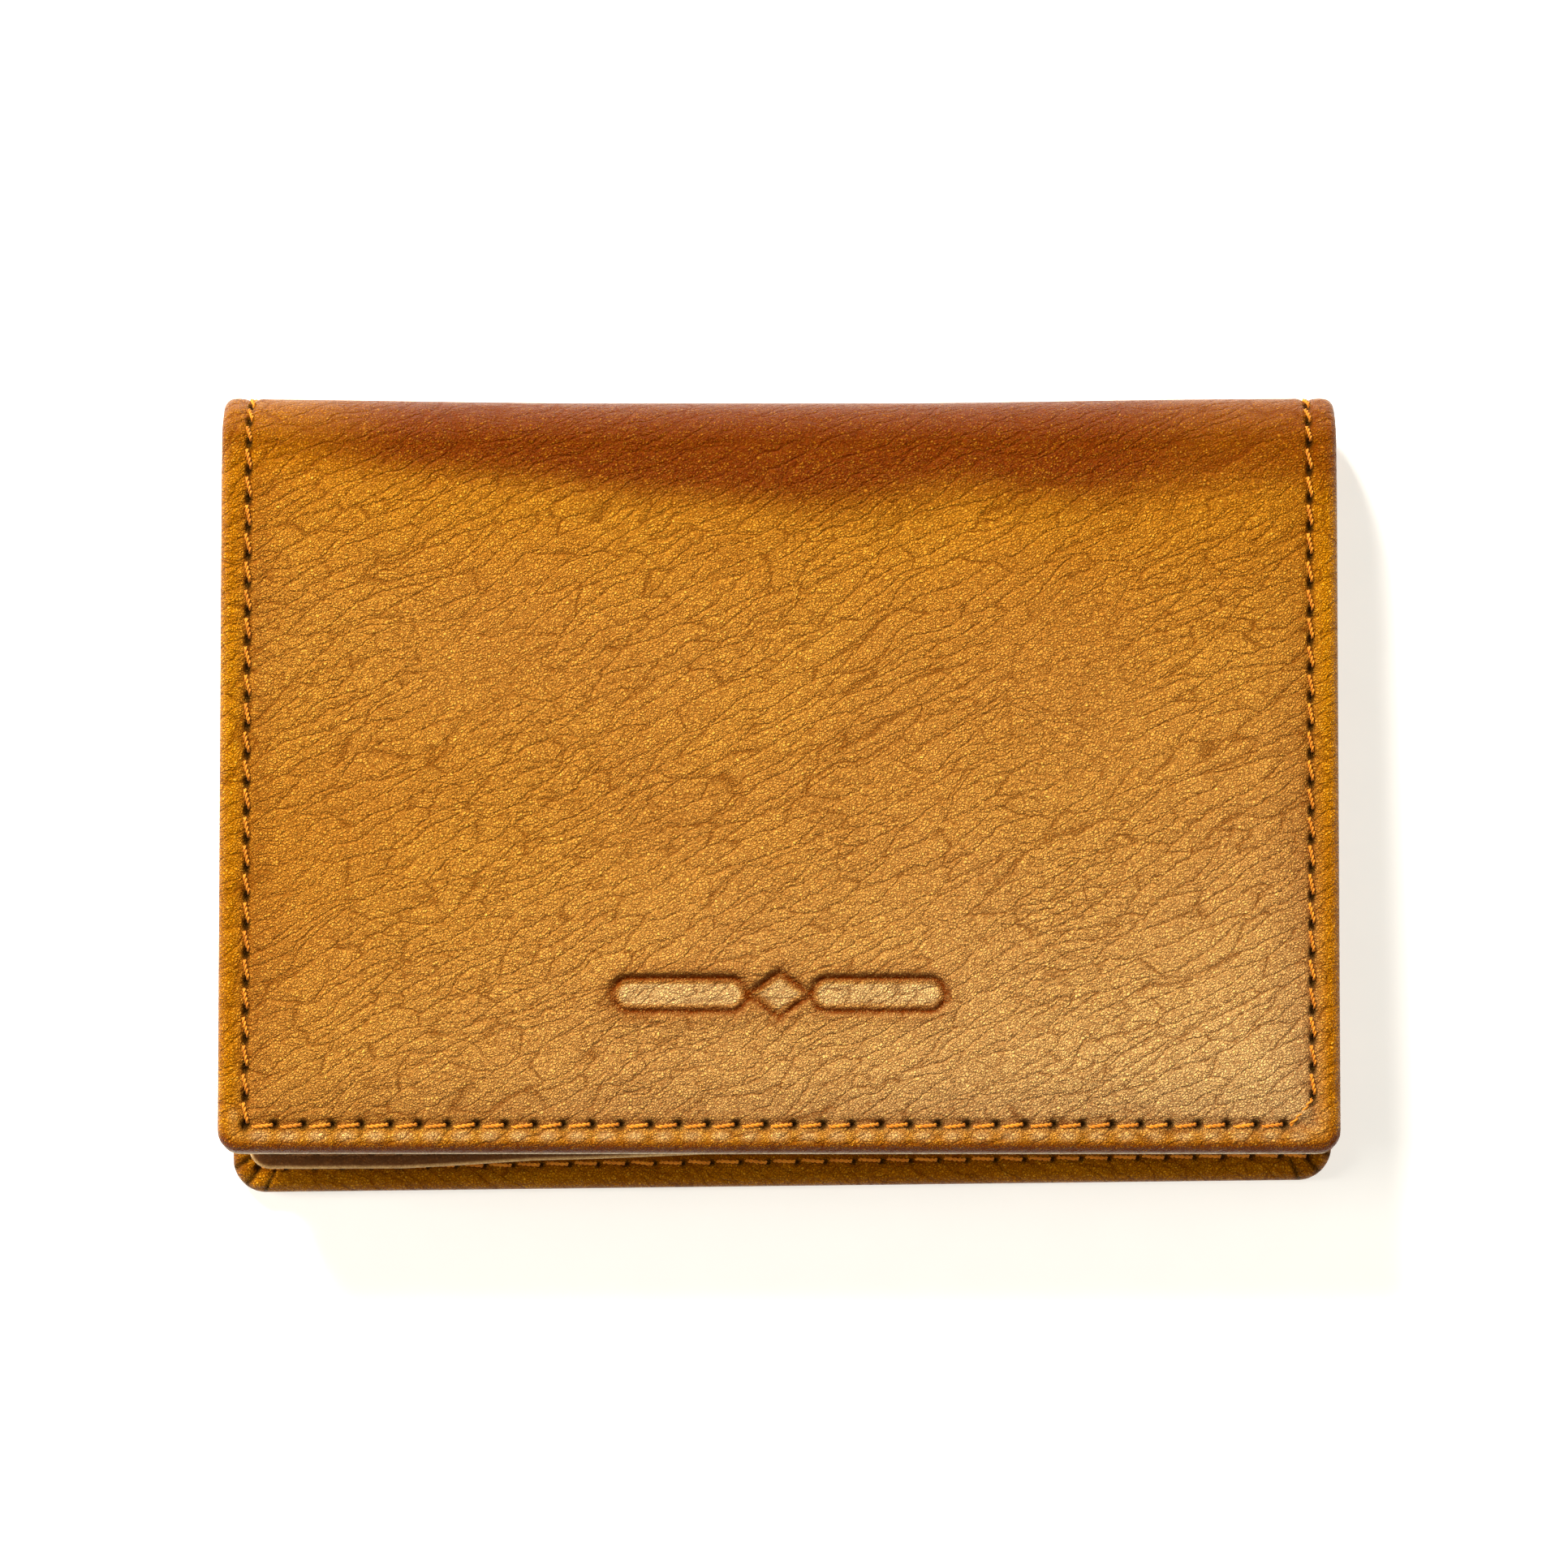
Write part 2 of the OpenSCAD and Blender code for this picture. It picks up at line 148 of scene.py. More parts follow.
# ---- Outer leather ----
# One piece of polished cognac leather covers the rear leaf, runs round the fold
# and covers the front leaf. Its edges are pared, rolled over the boards and
# glued down as a six millimetre margin, gathered in pleats at the rear corners.

joint_at = {j["name"]: np.array(j["pos_m"]) * 1000 for j in frame["joints"]}
rise = math.radians(3)
fold_turn = math.pi - rise
fold_y = joint_at["fold_lower"][1]
fold_r = (joint_at["fold_middle"][1] - fold_y) / math.sin(fold_turn / 2)
fold_long = fold_r * fold_turn

half_wide = (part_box("rear_cover")[1].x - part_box("rear_cover")[0].x) * 500
rear_long = fold_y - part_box("rear_cover")[0].y * 1000
front_long = 66.7
front_end = fold_long + front_long
rear_corner = 3.2
front_corner = 2.1
margin = 6.0
rear_row = 2.35
front_row = 2.65
pleat_in = 5.6
pleat_turns = 11.0


def ease(x):
    x = np.clip(x, 0, 1)
    return x * x * (3 - 2 * x)


def drift(u, t, span, seed):
    """Slow unevenness of hand work, from about -1 to 1, with waves of about that span."""
    draw = np.random.default_rng(seed)
    total = 0.0
    for _ in range(7):
        a, f = draw.uniform(0, 2 * math.pi), draw.uniform(0.6, 1.5) * 2 * math.pi / span
        total = total + np.sin(f * (u * math.cos(a) + t * math.sin(a)) + draw.uniform(0, 6.3))
    return total / 4


def slump(u, t):
    """The fold has sunk a little on top, and has been pressed in at the middle of its width."""
    low, mid, high = fold_r * math.radians(85), fold_r * math.radians(150), fold_long + 5.5
    top = ease((t - low) / (mid - low)) * ease((high - t) / (high - mid))
    back = ease(t / (fold_long * 0.5)) * ease((fold_long - t) / (fold_long * 0.5))
    return 0.35 * top + 0.42 * back * (1 - ease((np.abs(u + 4) - 12) / 40)) + 0.10 * back


def place(u, t, w):
    """Flat leather to space, in mm.

    u is across, t along from the fold's lower line, and w in from the outer face.
    """
    u, t, w = np.broadcast_arrays(np.asarray(u, float), np.asarray(t, float), np.asarray(w, float))
    back = ease(-t / rear_long)
    x = u + 0.3 * back
    run = t + 0.0117 * u * back
    w = w + slump(u, t)
    turn = np.clip(run / fold_r, 0, fold_turn)
    before, past = np.minimum(run, 0), np.maximum(run - fold_long, 0)
    y = fold_y + before + (fold_r - w) * np.sin(turn) - past * math.cos(rise)
    z = fold_r - (fold_r - w) * np.cos(turn) + past * math.sin(rise)
    return np.stack([x, y, z], -1)


# Needle holes run down each side of the whole leather, and along each free edge.
fold_holes = np.linspace(0, fold_long, 7)
side_holes = np.concatenate([
    np.linspace(-rear_long + rear_row, 0, 26)[:-1],
    fold_holes,
    np.linspace(fold_long, front_end - front_row, 25)[1:],
])
rear_holes = np.linspace(-half_wide + rear_row, half_wide - rear_row, 38)
front_holes = np.linspace(-half_wide + front_row, half_wide - front_row, 38)


def row_in(t):
    return rear_row + (front_row - rear_row) * ease((t + 12) / 12)


def nearest(x, holes):
    """How far each x is from the nearest hole, and its phase between two holes."""
    k = np.interp(x, holes, np.arange(len(holes)))
    return np.abs(x - holes[np.rint(k).astype(int)]), k % 1.0


def rim_gap(u, t):
    """Distance in from the leather's finished outline, on the flat."""
    side = half_wide - np.abs(u)
    gap = side
    for end, r in ((t + rear_long, rear_corner), (front_end - t, front_corner)):
        near = (side < r) & (end < r)
        rounded = r - np.hypot(np.maximum(r - side, 0), np.maximum(r - end, 0))
        gap = np.where(near, np.minimum(gap, rounded), np.minimum(gap, end))
    return np.maximum(gap, 0)


def sewing(u, t):
    """Distance to the stitch row, distance to its nearest hole, and the phase between holes."""
    inset = row_in(t)
    side = half_wide - np.abs(u)
    rear, front = t + rear_long, front_end - t
    past_end = np.maximum(rear_row - rear, 0) + np.maximum(front_row - front, 0)
    to_side = np.hypot(side - inset, past_end)
    hole_side, phase_side = nearest(t, side_holes)
    # The needle goes in at a slant beside the rim, so the side holes are pulled into slits.
    best, hole, phase = to_side, np.hypot((side - inset) * 1.5, hole_side * 0.68), phase_side
    for end, row, holes in ((rear, rear_row, rear_holes), (front, front_row, front_holes)):
        past = np.maximum(row - side, 0)
        to_end = np.hypot(end - row, past)
        hole_end, phase_end = nearest(u, holes)
        nearer = to_end < best
        best = np.where(nearer, to_end, best)
        phase = np.where(nearer, phase_end, phase)
        hole = np.minimum(hole, np.hypot(end - row, hole_end))
    turned = (u > front_holes[-1] - 0.9) & (front < front_row + 0.9)
    return best, np.where(turned, 9.0, hole), phase


def between_holes(phase):
    """0 at each needle hole and 1 midway to the next."""
    return 0.5 - 0.5 * np.cos(2 * math.pi * phase)


mark_at = fold_long + 51.9
bar_out, bar_half, bar_round = 9.3, 4.7, 1.25
lozenge_half = 1.75


def mark_field(u, t):
    """Signed distance to the blind-stamped ornament: two plain bars and a lozenge."""
    v = t - mark_at
    field = np.full(np.shape(u), 99.0)
    for centre in (-bar_out, bar_out):
        reach = np.maximum(np.abs(u - centre) - bar_half, 0)
        field = np.minimum(field, np.hypot(reach, v) - bar_round)
    lozenge = (np.abs(u) * 0.72 + np.abs(v)) - lozenge_half
    return np.minimum(field, lozenge * 0.8)


def edge_thick(t):
    front = ease((t - fold_long + 1.5) / 3)
    rear = ease((-t + 0.5) / 3)
    return 1.85 + 0.05 * rear + 0.25 * front


def outer_relief(u, t):
    """How far the outer face stands out of the flat leather, in mm."""
    gap = rim_gap(u, t)
    row, hole, phase = sewing(u, t)
    front = ease((t - fold_long) / 6)
    rear = ease(-t / 6)
    lift = 0.30 * front * ease((gap - 3.0) / 4.5) - 0.22 * rear * (1 - ease((gap - 2.5) / 6))
    lift = lift + (0.05 * front + 0.02 * rear) * drift(u, t, 26, 5) * ease((gap - 4) / 8)
    lift = lift - 0.24 * np.exp(-((row / 0.46) ** 2))
    edge_side = (gap < row_in(t)) & (gap > 0.2)
    puff = np.exp(-(((gap - 1.35) / 0.55) ** 2)) * between_holes(phase)
    lift = lift + 0.09 * puff * edge_side
    inside = np.exp(-(((row - 0.95) / 0.45) ** 2)) * ~edge_side
    lift = lift + 0.07 * inside * between_holes(phase)
    lift = lift - 0.42 * np.exp(-((hole / 0.33) ** 2))
    mark = mark_field(u, t)
    groove = np.exp(-(((mark - 0.30) / 0.26) ** 2))
    swell = ease((3.4 - mark) / 2.6) * ease((mark - 0.35) / 0.7)
    lift = lift - 0.34 * groove + 0.15 * swell - 0.10 * ease(-mark / 0.3)
    return lift


def rear_pleats(u, t):
    """The gathered folds that fan out in each rear corner: where, how far out, and their wave."""
    across, along = np.abs(u) - (half_wide - pleat_in), -t - (rear_long - pleat_in)
    angle = np.arctan2(np.maximum(along, 1e-6), np.maximum(across, 1e-6))
    wave = np.sin(angle * pleat_turns + 0.35 * np.sin(3 * angle))
    return (across > 0) & (along > 0), np.hypot(across, along), angle, wave


def inner_relief(u, t):
    """The turned margin's own relief: stitch row, holes and the gathered rear corners."""
    gap = rim_gap(u, t)
    row, hole, phase = sewing(u, t)
    lift = -0.14 * np.exp(-((row / 0.40) ** 2)) - 0.30 * np.exp(-((hole / 0.30) ** 2))
    lift = lift + 0.05 * np.exp(-(((gap - 1.1) / 0.5) ** 2)) * between_holes(phase)
    corner, radius, angle, wave = rear_pleats(u, t)
    pleat = np.abs(wave) ** 0.55
    reach = ease((radius - 1.2) / 1.5) * ease((angle - 0.16) / 0.2) * ease((1.41 - angle) / 0.2)
    return lift + corner * reach * (0.46 * pleat - 0.32)


def pleat_shade(u, t):
    """Painted shade in the bottoms of the gathered folds at the two rear corners."""
    corner, radius, angle, wave = rear_pleats(u, t)
    fold = np.exp(-((wave / 0.42) ** 2))
    fades = ease((radius - 1.5) / 1.5) * ease((angle - 0.1) / 0.2)
    return corner * fold * fades * ease((1.47 - angle) / 0.2)


def skin_faces(u, t):
    """Both faces of the rolled leather: the outer face and the turned margin."""
    gap = rim_gap(u, t)
    thick = edge_thick(t)
    bead = thick / 2
    over = np.sqrt(1 - np.clip(1 - gap / bead, 0, 1) ** 2)
    outer = thick / 2 * (1 - over) - outer_relief(u, t) * over
    drop = 0.6 * ease((gap - margin) / 0.16)
    inner = thick / 2 * (1 + over) + inner_relief(u, t) * over - drop
    return gap, outer, inner


def lines(low, high, *wanted, least=0.05):
    """Grid lines from low to high through the wanted places, none closer than least."""
    kept = [low]
    for x in np.unique(np.concatenate(wanted)):
        if x > kept[-1] + least and x < high - least:
            kept.append(x)
    return np.array(kept + [high])


def round_corners(u, v, low_r=0.0, high_r=0.0, half=half_wide, low=-rear_long, high=front_end):
    """Moves grid lines near a free edge so that the last one follows its rounded corners."""
    t = v.copy()
    for r, edge, sign in ((low_r, low, 1), (high_r, high, -1)):
        if r:
            x = np.clip(np.abs(u) - (half - r), 0, r)
            drop = r - np.sqrt(r * r - x * x)
            away = np.clip(sign * (v - edge) / (3.2 * r), 0, 1)
            t = t + sign * drop * (1 - away) ** 2
    return t


def build(name, parts, material, flat=None, masks=None):
    """A piece from (points, quads) in mm: the flat place of each point is kept for its grain."""
    points = np.concatenate([p for p, _ in parts]).reshape(-1, 3)
    start, quads = 0, []
    for p, q in parts:
        quads.append(q + start)
        start += len(p)
    quads = np.concatenate(quads)
    used = np.unique(quads)
    renumber = np.zeros(len(points), np.int64)
    renumber[used] = np.arange(len(used))
    quads = renumber[quads].astype(np.int32)
    mesh = bpy.data.meshes.new(name)
    mesh.vertices.add(len(used))
    mesh.vertices.foreach_set("co", (points[used] * 0.001).astype(np.float32).ravel())
    mesh.loops.add(quads.size)
    mesh.loops.foreach_set("vertex_index", quads.ravel())
    mesh.polygons.add(len(quads))
    mesh.polygons.foreach_set("loop_start", np.arange(0, quads.size, 4, dtype=np.int32))
    mesh.update(calc_edges=True)
    mesh.shade_smooth()
    rest = points if flat is None else flat
    attribute = mesh.attributes.new("flat_place", "FLOAT_VECTOR", "POINT")
    attribute.data.foreach_set("vector", rest.reshape(-1, 3)[used].astype(np.float32).ravel())
    for label, value in (masks or {}).items():
        attribute = mesh.attributes.new(label, "FLOAT", "POINT")
        attribute.data.foreach_set("value", np.asarray(value).ravel()[used].astype(np.float32))
    mesh.materials.append(material)
    piece = bpy.data.objects.new(name, mesh)
    scene.collection.objects.link(piece)
    return piece


def grid_quads(rows, cols, index=None, flip=False):
    index = np.arange(rows * cols).reshape(rows, cols) if index is None else index
    quads = np.stack([index[:-1, :-1], index[:-1, 1:], index[1:, 1:], index[1:, :-1]], -1).reshape(-1, 4)
    return quads[:, ::-1] if flip else quads


def two_faced(name, u, t, lower, upper, material, where=place, keep_upper=None, masks=None):
    """A sheet with a lower and an upper face over one grid, joined wherever they meet."""
    rows, cols = u.shape
    low_index = np.arange(rows * cols).reshape(rows, cols)
    high_index = np.where(upper - lower < 1e-5, low_index, low_index + rows * cols)
    quads = [grid_quads(rows, cols, low_index, flip=True)]
    high_quads = grid_quads(rows, cols, high_index)
    if keep_upper is not None:
        kept = keep_upper[:-1, :-1] & keep_upper[:-1, 1:] & keep_upper[1:, 1:] & keep_upper[1:, :-1]
        high_quads = high_quads[kept.ravel()]
    quads.append(high_quads)
    flat_u, flat_t = np.concatenate([u.ravel()] * 2), np.concatenate([t.ravel()] * 2)
    flat_w = np.concatenate([lower.ravel(), upper.ravel()])
    flat = np.stack([flat_u, flat_t, flat_w], -1)
    points = where(flat_u, flat_t, flat_w)
    doubled = {k: np.concatenate([np.ravel(a), np.ravel(b)]) for k, (a, b) in (masks or {}).items()}
    return build(name, [(points, np.concatenate(quads))], material, flat, doubled)


def new_group(name, takes, gives):
    """A shader node group: takes is {label: (socket type, value)}, gives is {label: socket type}."""
    group = bpy.data.node_groups.new(name, "ShaderNodeTree")
    for label, (kind, value) in takes.items():
        socket = group.interface.new_socket(name=label, in_out="INPUT", socket_type="NodeSocket" + kind)
        if value is not None:
            socket.default_value = value
    for label, kind in gives.items():
        group.interface.new_socket(name=label, in_out="OUTPUT", socket_type="NodeSocket" + kind)
    return group, group.nodes.new("NodeGroupInput").outputs, group.nodes.new("NodeGroupOutput").inputs


def use(tree, group, inputs):
    """A node group placed in a material with its own values."""
    made = tree.nodes.new("ShaderNodeGroup")
    made.node_tree = group
    for key, value in inputs.items():
        if isinstance(value, bpy.types.NodeSocket):
            tree.links.new(value, made.inputs[key])
        else:
            made.inputs[key].default_value = value
    return made.outputs


def maths(tree, operation, a, b=0.0, clamp=False):
    return add(tree, "Math", {0: a, 1: b}, operation=operation, use_clamp=clamp)[0]


def mixed(tree, factor, a, b):
    """Two colours mixed by a mask."""
    return add(tree, "Mix", {0: factor, 6: a, 7: b}, data_type="RGBA")[2]


def ramp(tree, value, low, high, to_low=0.0, to_high=1.0):
    return add(tree, "MapRange", {"Value": value, "From Min": low, "From Max": high,
                                  "To Min": to_low, "To Max": to_high},
               interpolation_type="SMOOTHSTEP")[0]


def dye(r, g, b):
    """A colour given as 0 to 255 values on a dyer's card, as linear light."""
    shares = (c / 255 for c in (r, g, b))
    return tuple(((c + 0.055) / 1.055) ** 2.4 if c > 10 / 255 else c / 12.92 for c in shares) + (1.0,)


# Pebble grain: small rounded cells with fine valleys between them. Peak marks the crests that take painted
# glints; Valley marks the valleys that take painted shade.
grain_group, takes, gives = new_group(
    "pebble_grain",
    {"Place": ("Vector", None), "Cells per mm": ("Float", 4.5), "Unevenness": ("Float", 0.5)},
    {"Height": "Float", "Valley": "Float", "Peak": "Float"})
tree = grain_group
warp = add(tree, "TexNoise", {"Vector": takes["Place"], "Scale": 1.3, "Detail": 2.0})
pull = add(tree, "VectorMath", {0: warp["Color"], 1: (0.5, 0.5, 0.5)}, operation="SUBTRACT")[0]
pull = add(tree, "VectorMath", {0: pull, "Scale": takes["Unevenness"]}, operation="SCALE")[0]
moved = add(tree, "VectorMath", {0: takes["Place"], 1: pull}, operation="ADD")[0]
cell = add(tree, "TexVoronoi", {"Vector": moved, "Scale": takes["Cells per mm"], "Randomness": 0.95},
           feature="DISTANCE_TO_EDGE")["Distance"]
dome = ramp(tree, cell, 0.0, 0.32)
fine = add(tree, "TexNoise", {"Vector": moved, "Scale": 9.0, "Detail": 4.0, "Roughness": 0.6})["Fac"]
tree.links.new(maths(tree, "ADD", maths(tree, "MULTIPLY", dome, 0.75), maths(tree, "MULTIPLY", fine, 0.5)),
               gives["Height"])
tree.links.new(ramp(tree, cell, 0.0, 0.22, 1.0, 0.0), gives["Valley"])
glint = add(tree, "TexNoise", {"Vector": moved, "Scale": 3.4, "Detail": 2.0, "Roughness": 0.6})["Fac"]
tree.links.new(maths(tree, "MULTIPLY", ramp(tree, cell, 0.04, 0.24), ramp(tree, glint, 0.42, 0.60)),
               gives["Peak"])

# Creases: long fine wrinkles that run one way, fork, fade out and come back.
crease_group, takes, gives = new_group(
    "wrinkle_lines",
    {"Place": ("Vector", None), "Angle": ("Float", 0.5), "Lines per mm": ("Float", 0.6),
     "Stretch": ("Float", 0.25), "Width": ("Float", 0.06), "Patches": ("Float", 0.05),
     "Cover": ("Float", 0.5)},
    {"Line": "Float", "Swell": "Float"})
tree = crease_group
warp = add(tree, "TexNoise", {"Vector": takes["Place"], "Scale": 0.11, "Detail": 3.0, "Roughness": 0.6})
pull = add(tree, "VectorMath", {0: warp["Color"], 1: (0.5, 0.5, 0.5)}, operation="SUBTRACT")[0]
pull = add(tree, "VectorMath", {0: pull, "Scale": 4.0}, operation="SCALE")[0]
ragged = add(tree, "TexNoise", {"Vector": takes["Place"], "Scale": 1.9, "Detail": 3.0, "Roughness": 0.65})
shake = add(tree, "VectorMath", {0: ragged["Color"], 1: (0.5, 0.5, 0.5)}, operation="SUBTRACT")[0]
shake = add(tree, "VectorMath", {0: shake, "Scale": 0.42}, operation="SCALE")[0]
moved = add(tree, "VectorMath", {0: takes["Place"], 1: pull}, operation="ADD")[0]
moved = add(tree, "VectorMath", {0: moved, 1: shake}, operation="ADD")[0]
turned = add(tree, "VectorRotate", {"Vector": moved, "Angle": takes["Angle"]}, rotation_type="Z_AXIS")[0]
parts = add(tree, "SeparateXYZ", {0: turned})
drawn = add(tree, "CombineXYZ", {0: maths(tree, "MULTIPLY", parts[0], takes["Stretch"]), 1: parts[1]})[0]
cell = add(tree, "TexVoronoi", {"Vector": drawn, "Scale": takes["Lines per mm"], "Randomness": 1.0},
           feature="DISTANCE_TO_EDGE")["Distance"]
patch = add(tree, "TexNoise", {"Vector": takes["Place"], "Scale": takes["Patches"], "Detail": 3.0,
                               "Roughness": 0.55})["Fac"]
low = maths(tree, "SUBTRACT", 0.95, takes["Cover"])
show = maths(tree, "MULTIPLY", maths(tree, "SUBTRACT", patch, low), 6.0, clamp=True)
narrow = maths(tree, "DIVIDE", cell, takes["Width"])
line = ramp(tree, narrow, 0.0, 1.0, 1.0, 0.0)
tree.links.new(maths(tree, "MULTIPLY", line, show), gives["Line"])
tree.links.new(maths(tree, "MULTIPLY", ramp(tree, narrow, 0.0, 3.2, 0.0, 1.0), show), gives["Swell"])

# Darkening: the dye is mixed towards a deep colour by a mask that is partly painted shade, and towards near
# black in holes and deep folds, which is painted shade.
darken_group, takes, gives = new_group(
    "rubbed_dye",
    {"Colour": ("Color", (0.5, 0.2, 0.03, 1)), "Burnt": ("Color", (0.2, 0.05, 0.0, 1)),
     "Dark": ("Color", (0.01, 0.004, 0.001, 1)), "Burnish mask": ("Float", 0.0), "Dark mask": ("Float", 0.0)},
    {"Colour": "Color"})
tree = darken_group
deepened = mixed(tree, takes["Burnish mask"], takes["Colour"], takes["Burnt"])
tree.links.new(mixed(tree, takes["Dark mask"], deepened, takes["Dark"]), gives["Colour"])


def leather(name, light, mid, dark, deep, rubbed, bright, shine=0.40, cells=3.8, depth=0.00006, crease=1.0,
            glints=1.0, spec_tint=(1, 0.52, 0.02, 1), spec=0.22):
    """Dyed leather: grain, three families of creases and drifting tone; painted glints on the grain crests,
    painted shade in the grain valleys, crease lines and holes, the masked darkening with painted shade at
    edges and folds, and the pale places with painted sheen.
    """
    material, tree, shader = new_finish(name)
    at = add(tree, "Attribute", attribute_name="flat_place")["Vector"]
    hole = add(tree, "Attribute", attribute_name="needle")["Fac"]
    # Darkening mask, partly painted shade along the fold, on the front rim and under the front leaf.
    dark_and_shade = add(tree, "Attribute", attribute_name="burnish")["Fac"]
    pale_and_sheen_mask = add(tree, "Attribute", attribute_name="rubbed")["Fac"]
    grain = use(tree, grain_group, {"Place": at, "Cells per mm": cells, "Unevenness": 0.45})
    long_lines = use(tree, crease_group, {"Place": at, "Angle": 0.50, "Lines per mm": 0.62, "Stretch": 0.20,
                                          "Width": 0.042, "Patches": 0.040, "Cover": 0.66})
    cross_lines = use(tree, crease_group, {"Place": at, "Angle": 0.02, "Lines per mm": 0.95, "Stretch": 0.36,
                                           "Width": 0.050, "Patches": 0.055, "Cover": 0.54})
    short_lines = use(tree, crease_group, {"Place": at, "Angle": 0.36, "Lines per mm": 3.1, "Stretch": 0.62,
                                           "Width": 0.13, "Patches": 0.25, "Cover": 0.90})
    large = add(tree, "TexNoise", {"Vector": at, "Scale": 0.045, "Detail": 3.0, "Roughness": 0.5})["Fac"]
    small = add(tree, "TexNoise", {"Vector": at, "Scale": 1.6, "Detail": 6.0, "Roughness": 0.7})["Fac"]
    line = maths(tree, "MAXIMUM", long_lines["Line"], maths(tree, "MULTIPLY", cross_lines["Line"], 0.8))
    swell = maths(tree, "ADD", long_lines["Swell"], maths(tree, "MULTIPLY", cross_lines["Swell"], 0.6))
    base = mixed(tree, ramp(tree, large, 0.35, 0.65), mid, light)
    # Pale places from the mask: pale raw edges and stamped faces, and on the front a painted sheen and
    # painted highlights on the rim puffs.
    base = mixed(tree, pale_and_sheen_mask, base, rubbed)
    base = mixed(tree, ramp(tree, small, 0.38, 0.62, 0.0, 0.30), base, dark)
    # Painted highlight: grain crests along the short creases are mixed towards the bright glint colour.
    crest = maths(tree, "MULTIPLY", short_lines["Swell"], grain["Peak"])
    base = mixed(tree, maths(tree, "MULTIPLY", crest, 0.36 * glints), base, bright)
    # Painted shade: grain valleys and crease lines are mixed towards the dark colour.
    base = mixed(tree, maths(tree, "MULTIPLY", grain["Valley"], 0.62 * glints), base, dark)
    base = mixed(tree, maths(tree, "MULTIPLY", short_lines["Line"], 0.46 * crease), base, dark)
    base = mixed(tree, maths(tree, "MULTIPLY", line, 0.60 * crease), base, dark)
    # Painted shade: holes and fold bottoms go to near black. The darkening mask is eased on the grain crests,
    # so the painted glints show through it.
    sunk = maths(tree, "MAXIMUM", hole, 0.0, clamp=True)
    kept = maths(tree, "SUBTRACT", 1.0, maths(tree, "MULTIPLY", grain["Peak"], 0.34 * glints))
    kept = maths(tree, "MULTIPLY", kept, ramp(tree, small, 0.25, 0.5, 0.80, 1.0))
    darkened = use(tree, darken_group, {"Colour": base, "Burnt": deep, "Dark": (0.012, 0.004, 0.001, 1),
                                  "Burnish mask": maths(tree, "MULTIPLY", dark_and_shade, kept), "Dark mask": sunk})
    tree.links.new(darkened["Colour"], shader["Base Color"])
    rough = maths(tree, "ADD", maths(tree, "MULTIPLY", small, 0.16), shine - 0.08)
    rough = maths(tree, "ADD", rough, maths(tree, "MULTIPLY", line, 0.15))
    tree.links.new(rough, shader["Roughness"])
    height = maths(tree, "ADD", maths(tree, "MULTIPLY", grain["Height"], 0.80),
                   maths(tree, "MULTIPLY", swell, 0.60 * crease))
    height = maths(tree, "SUBTRACT", height, maths(tree, "MULTIPLY", line, 0.30 * crease))
    height = maths(tree, "ADD", height, maths(tree, "MULTIPLY", short_lines["Swell"], 0.45 * crease))
    height = maths(tree, "ADD", height, maths(tree, "MULTIPLY", small, 1.1))
    bump = add(tree, "Bump", {"Height": height, "Distance": depth, "Strength": 1.0})[0]
    tree.links.new(bump, shader["Normal"])
    shader["Specular Tint"].default_value = spec_tint
    shader["Specular IOR Level"].default_value = spec
    return material


cognac = leather("cognac_leather", dye(203, 133, 6), dye(191, 120, 3), dye(92, 40, 0), dye(92, 30, 0),
                 dye(238, 198, 134), dye(255, 206, 84), shine=0.34, depth=0.00017)


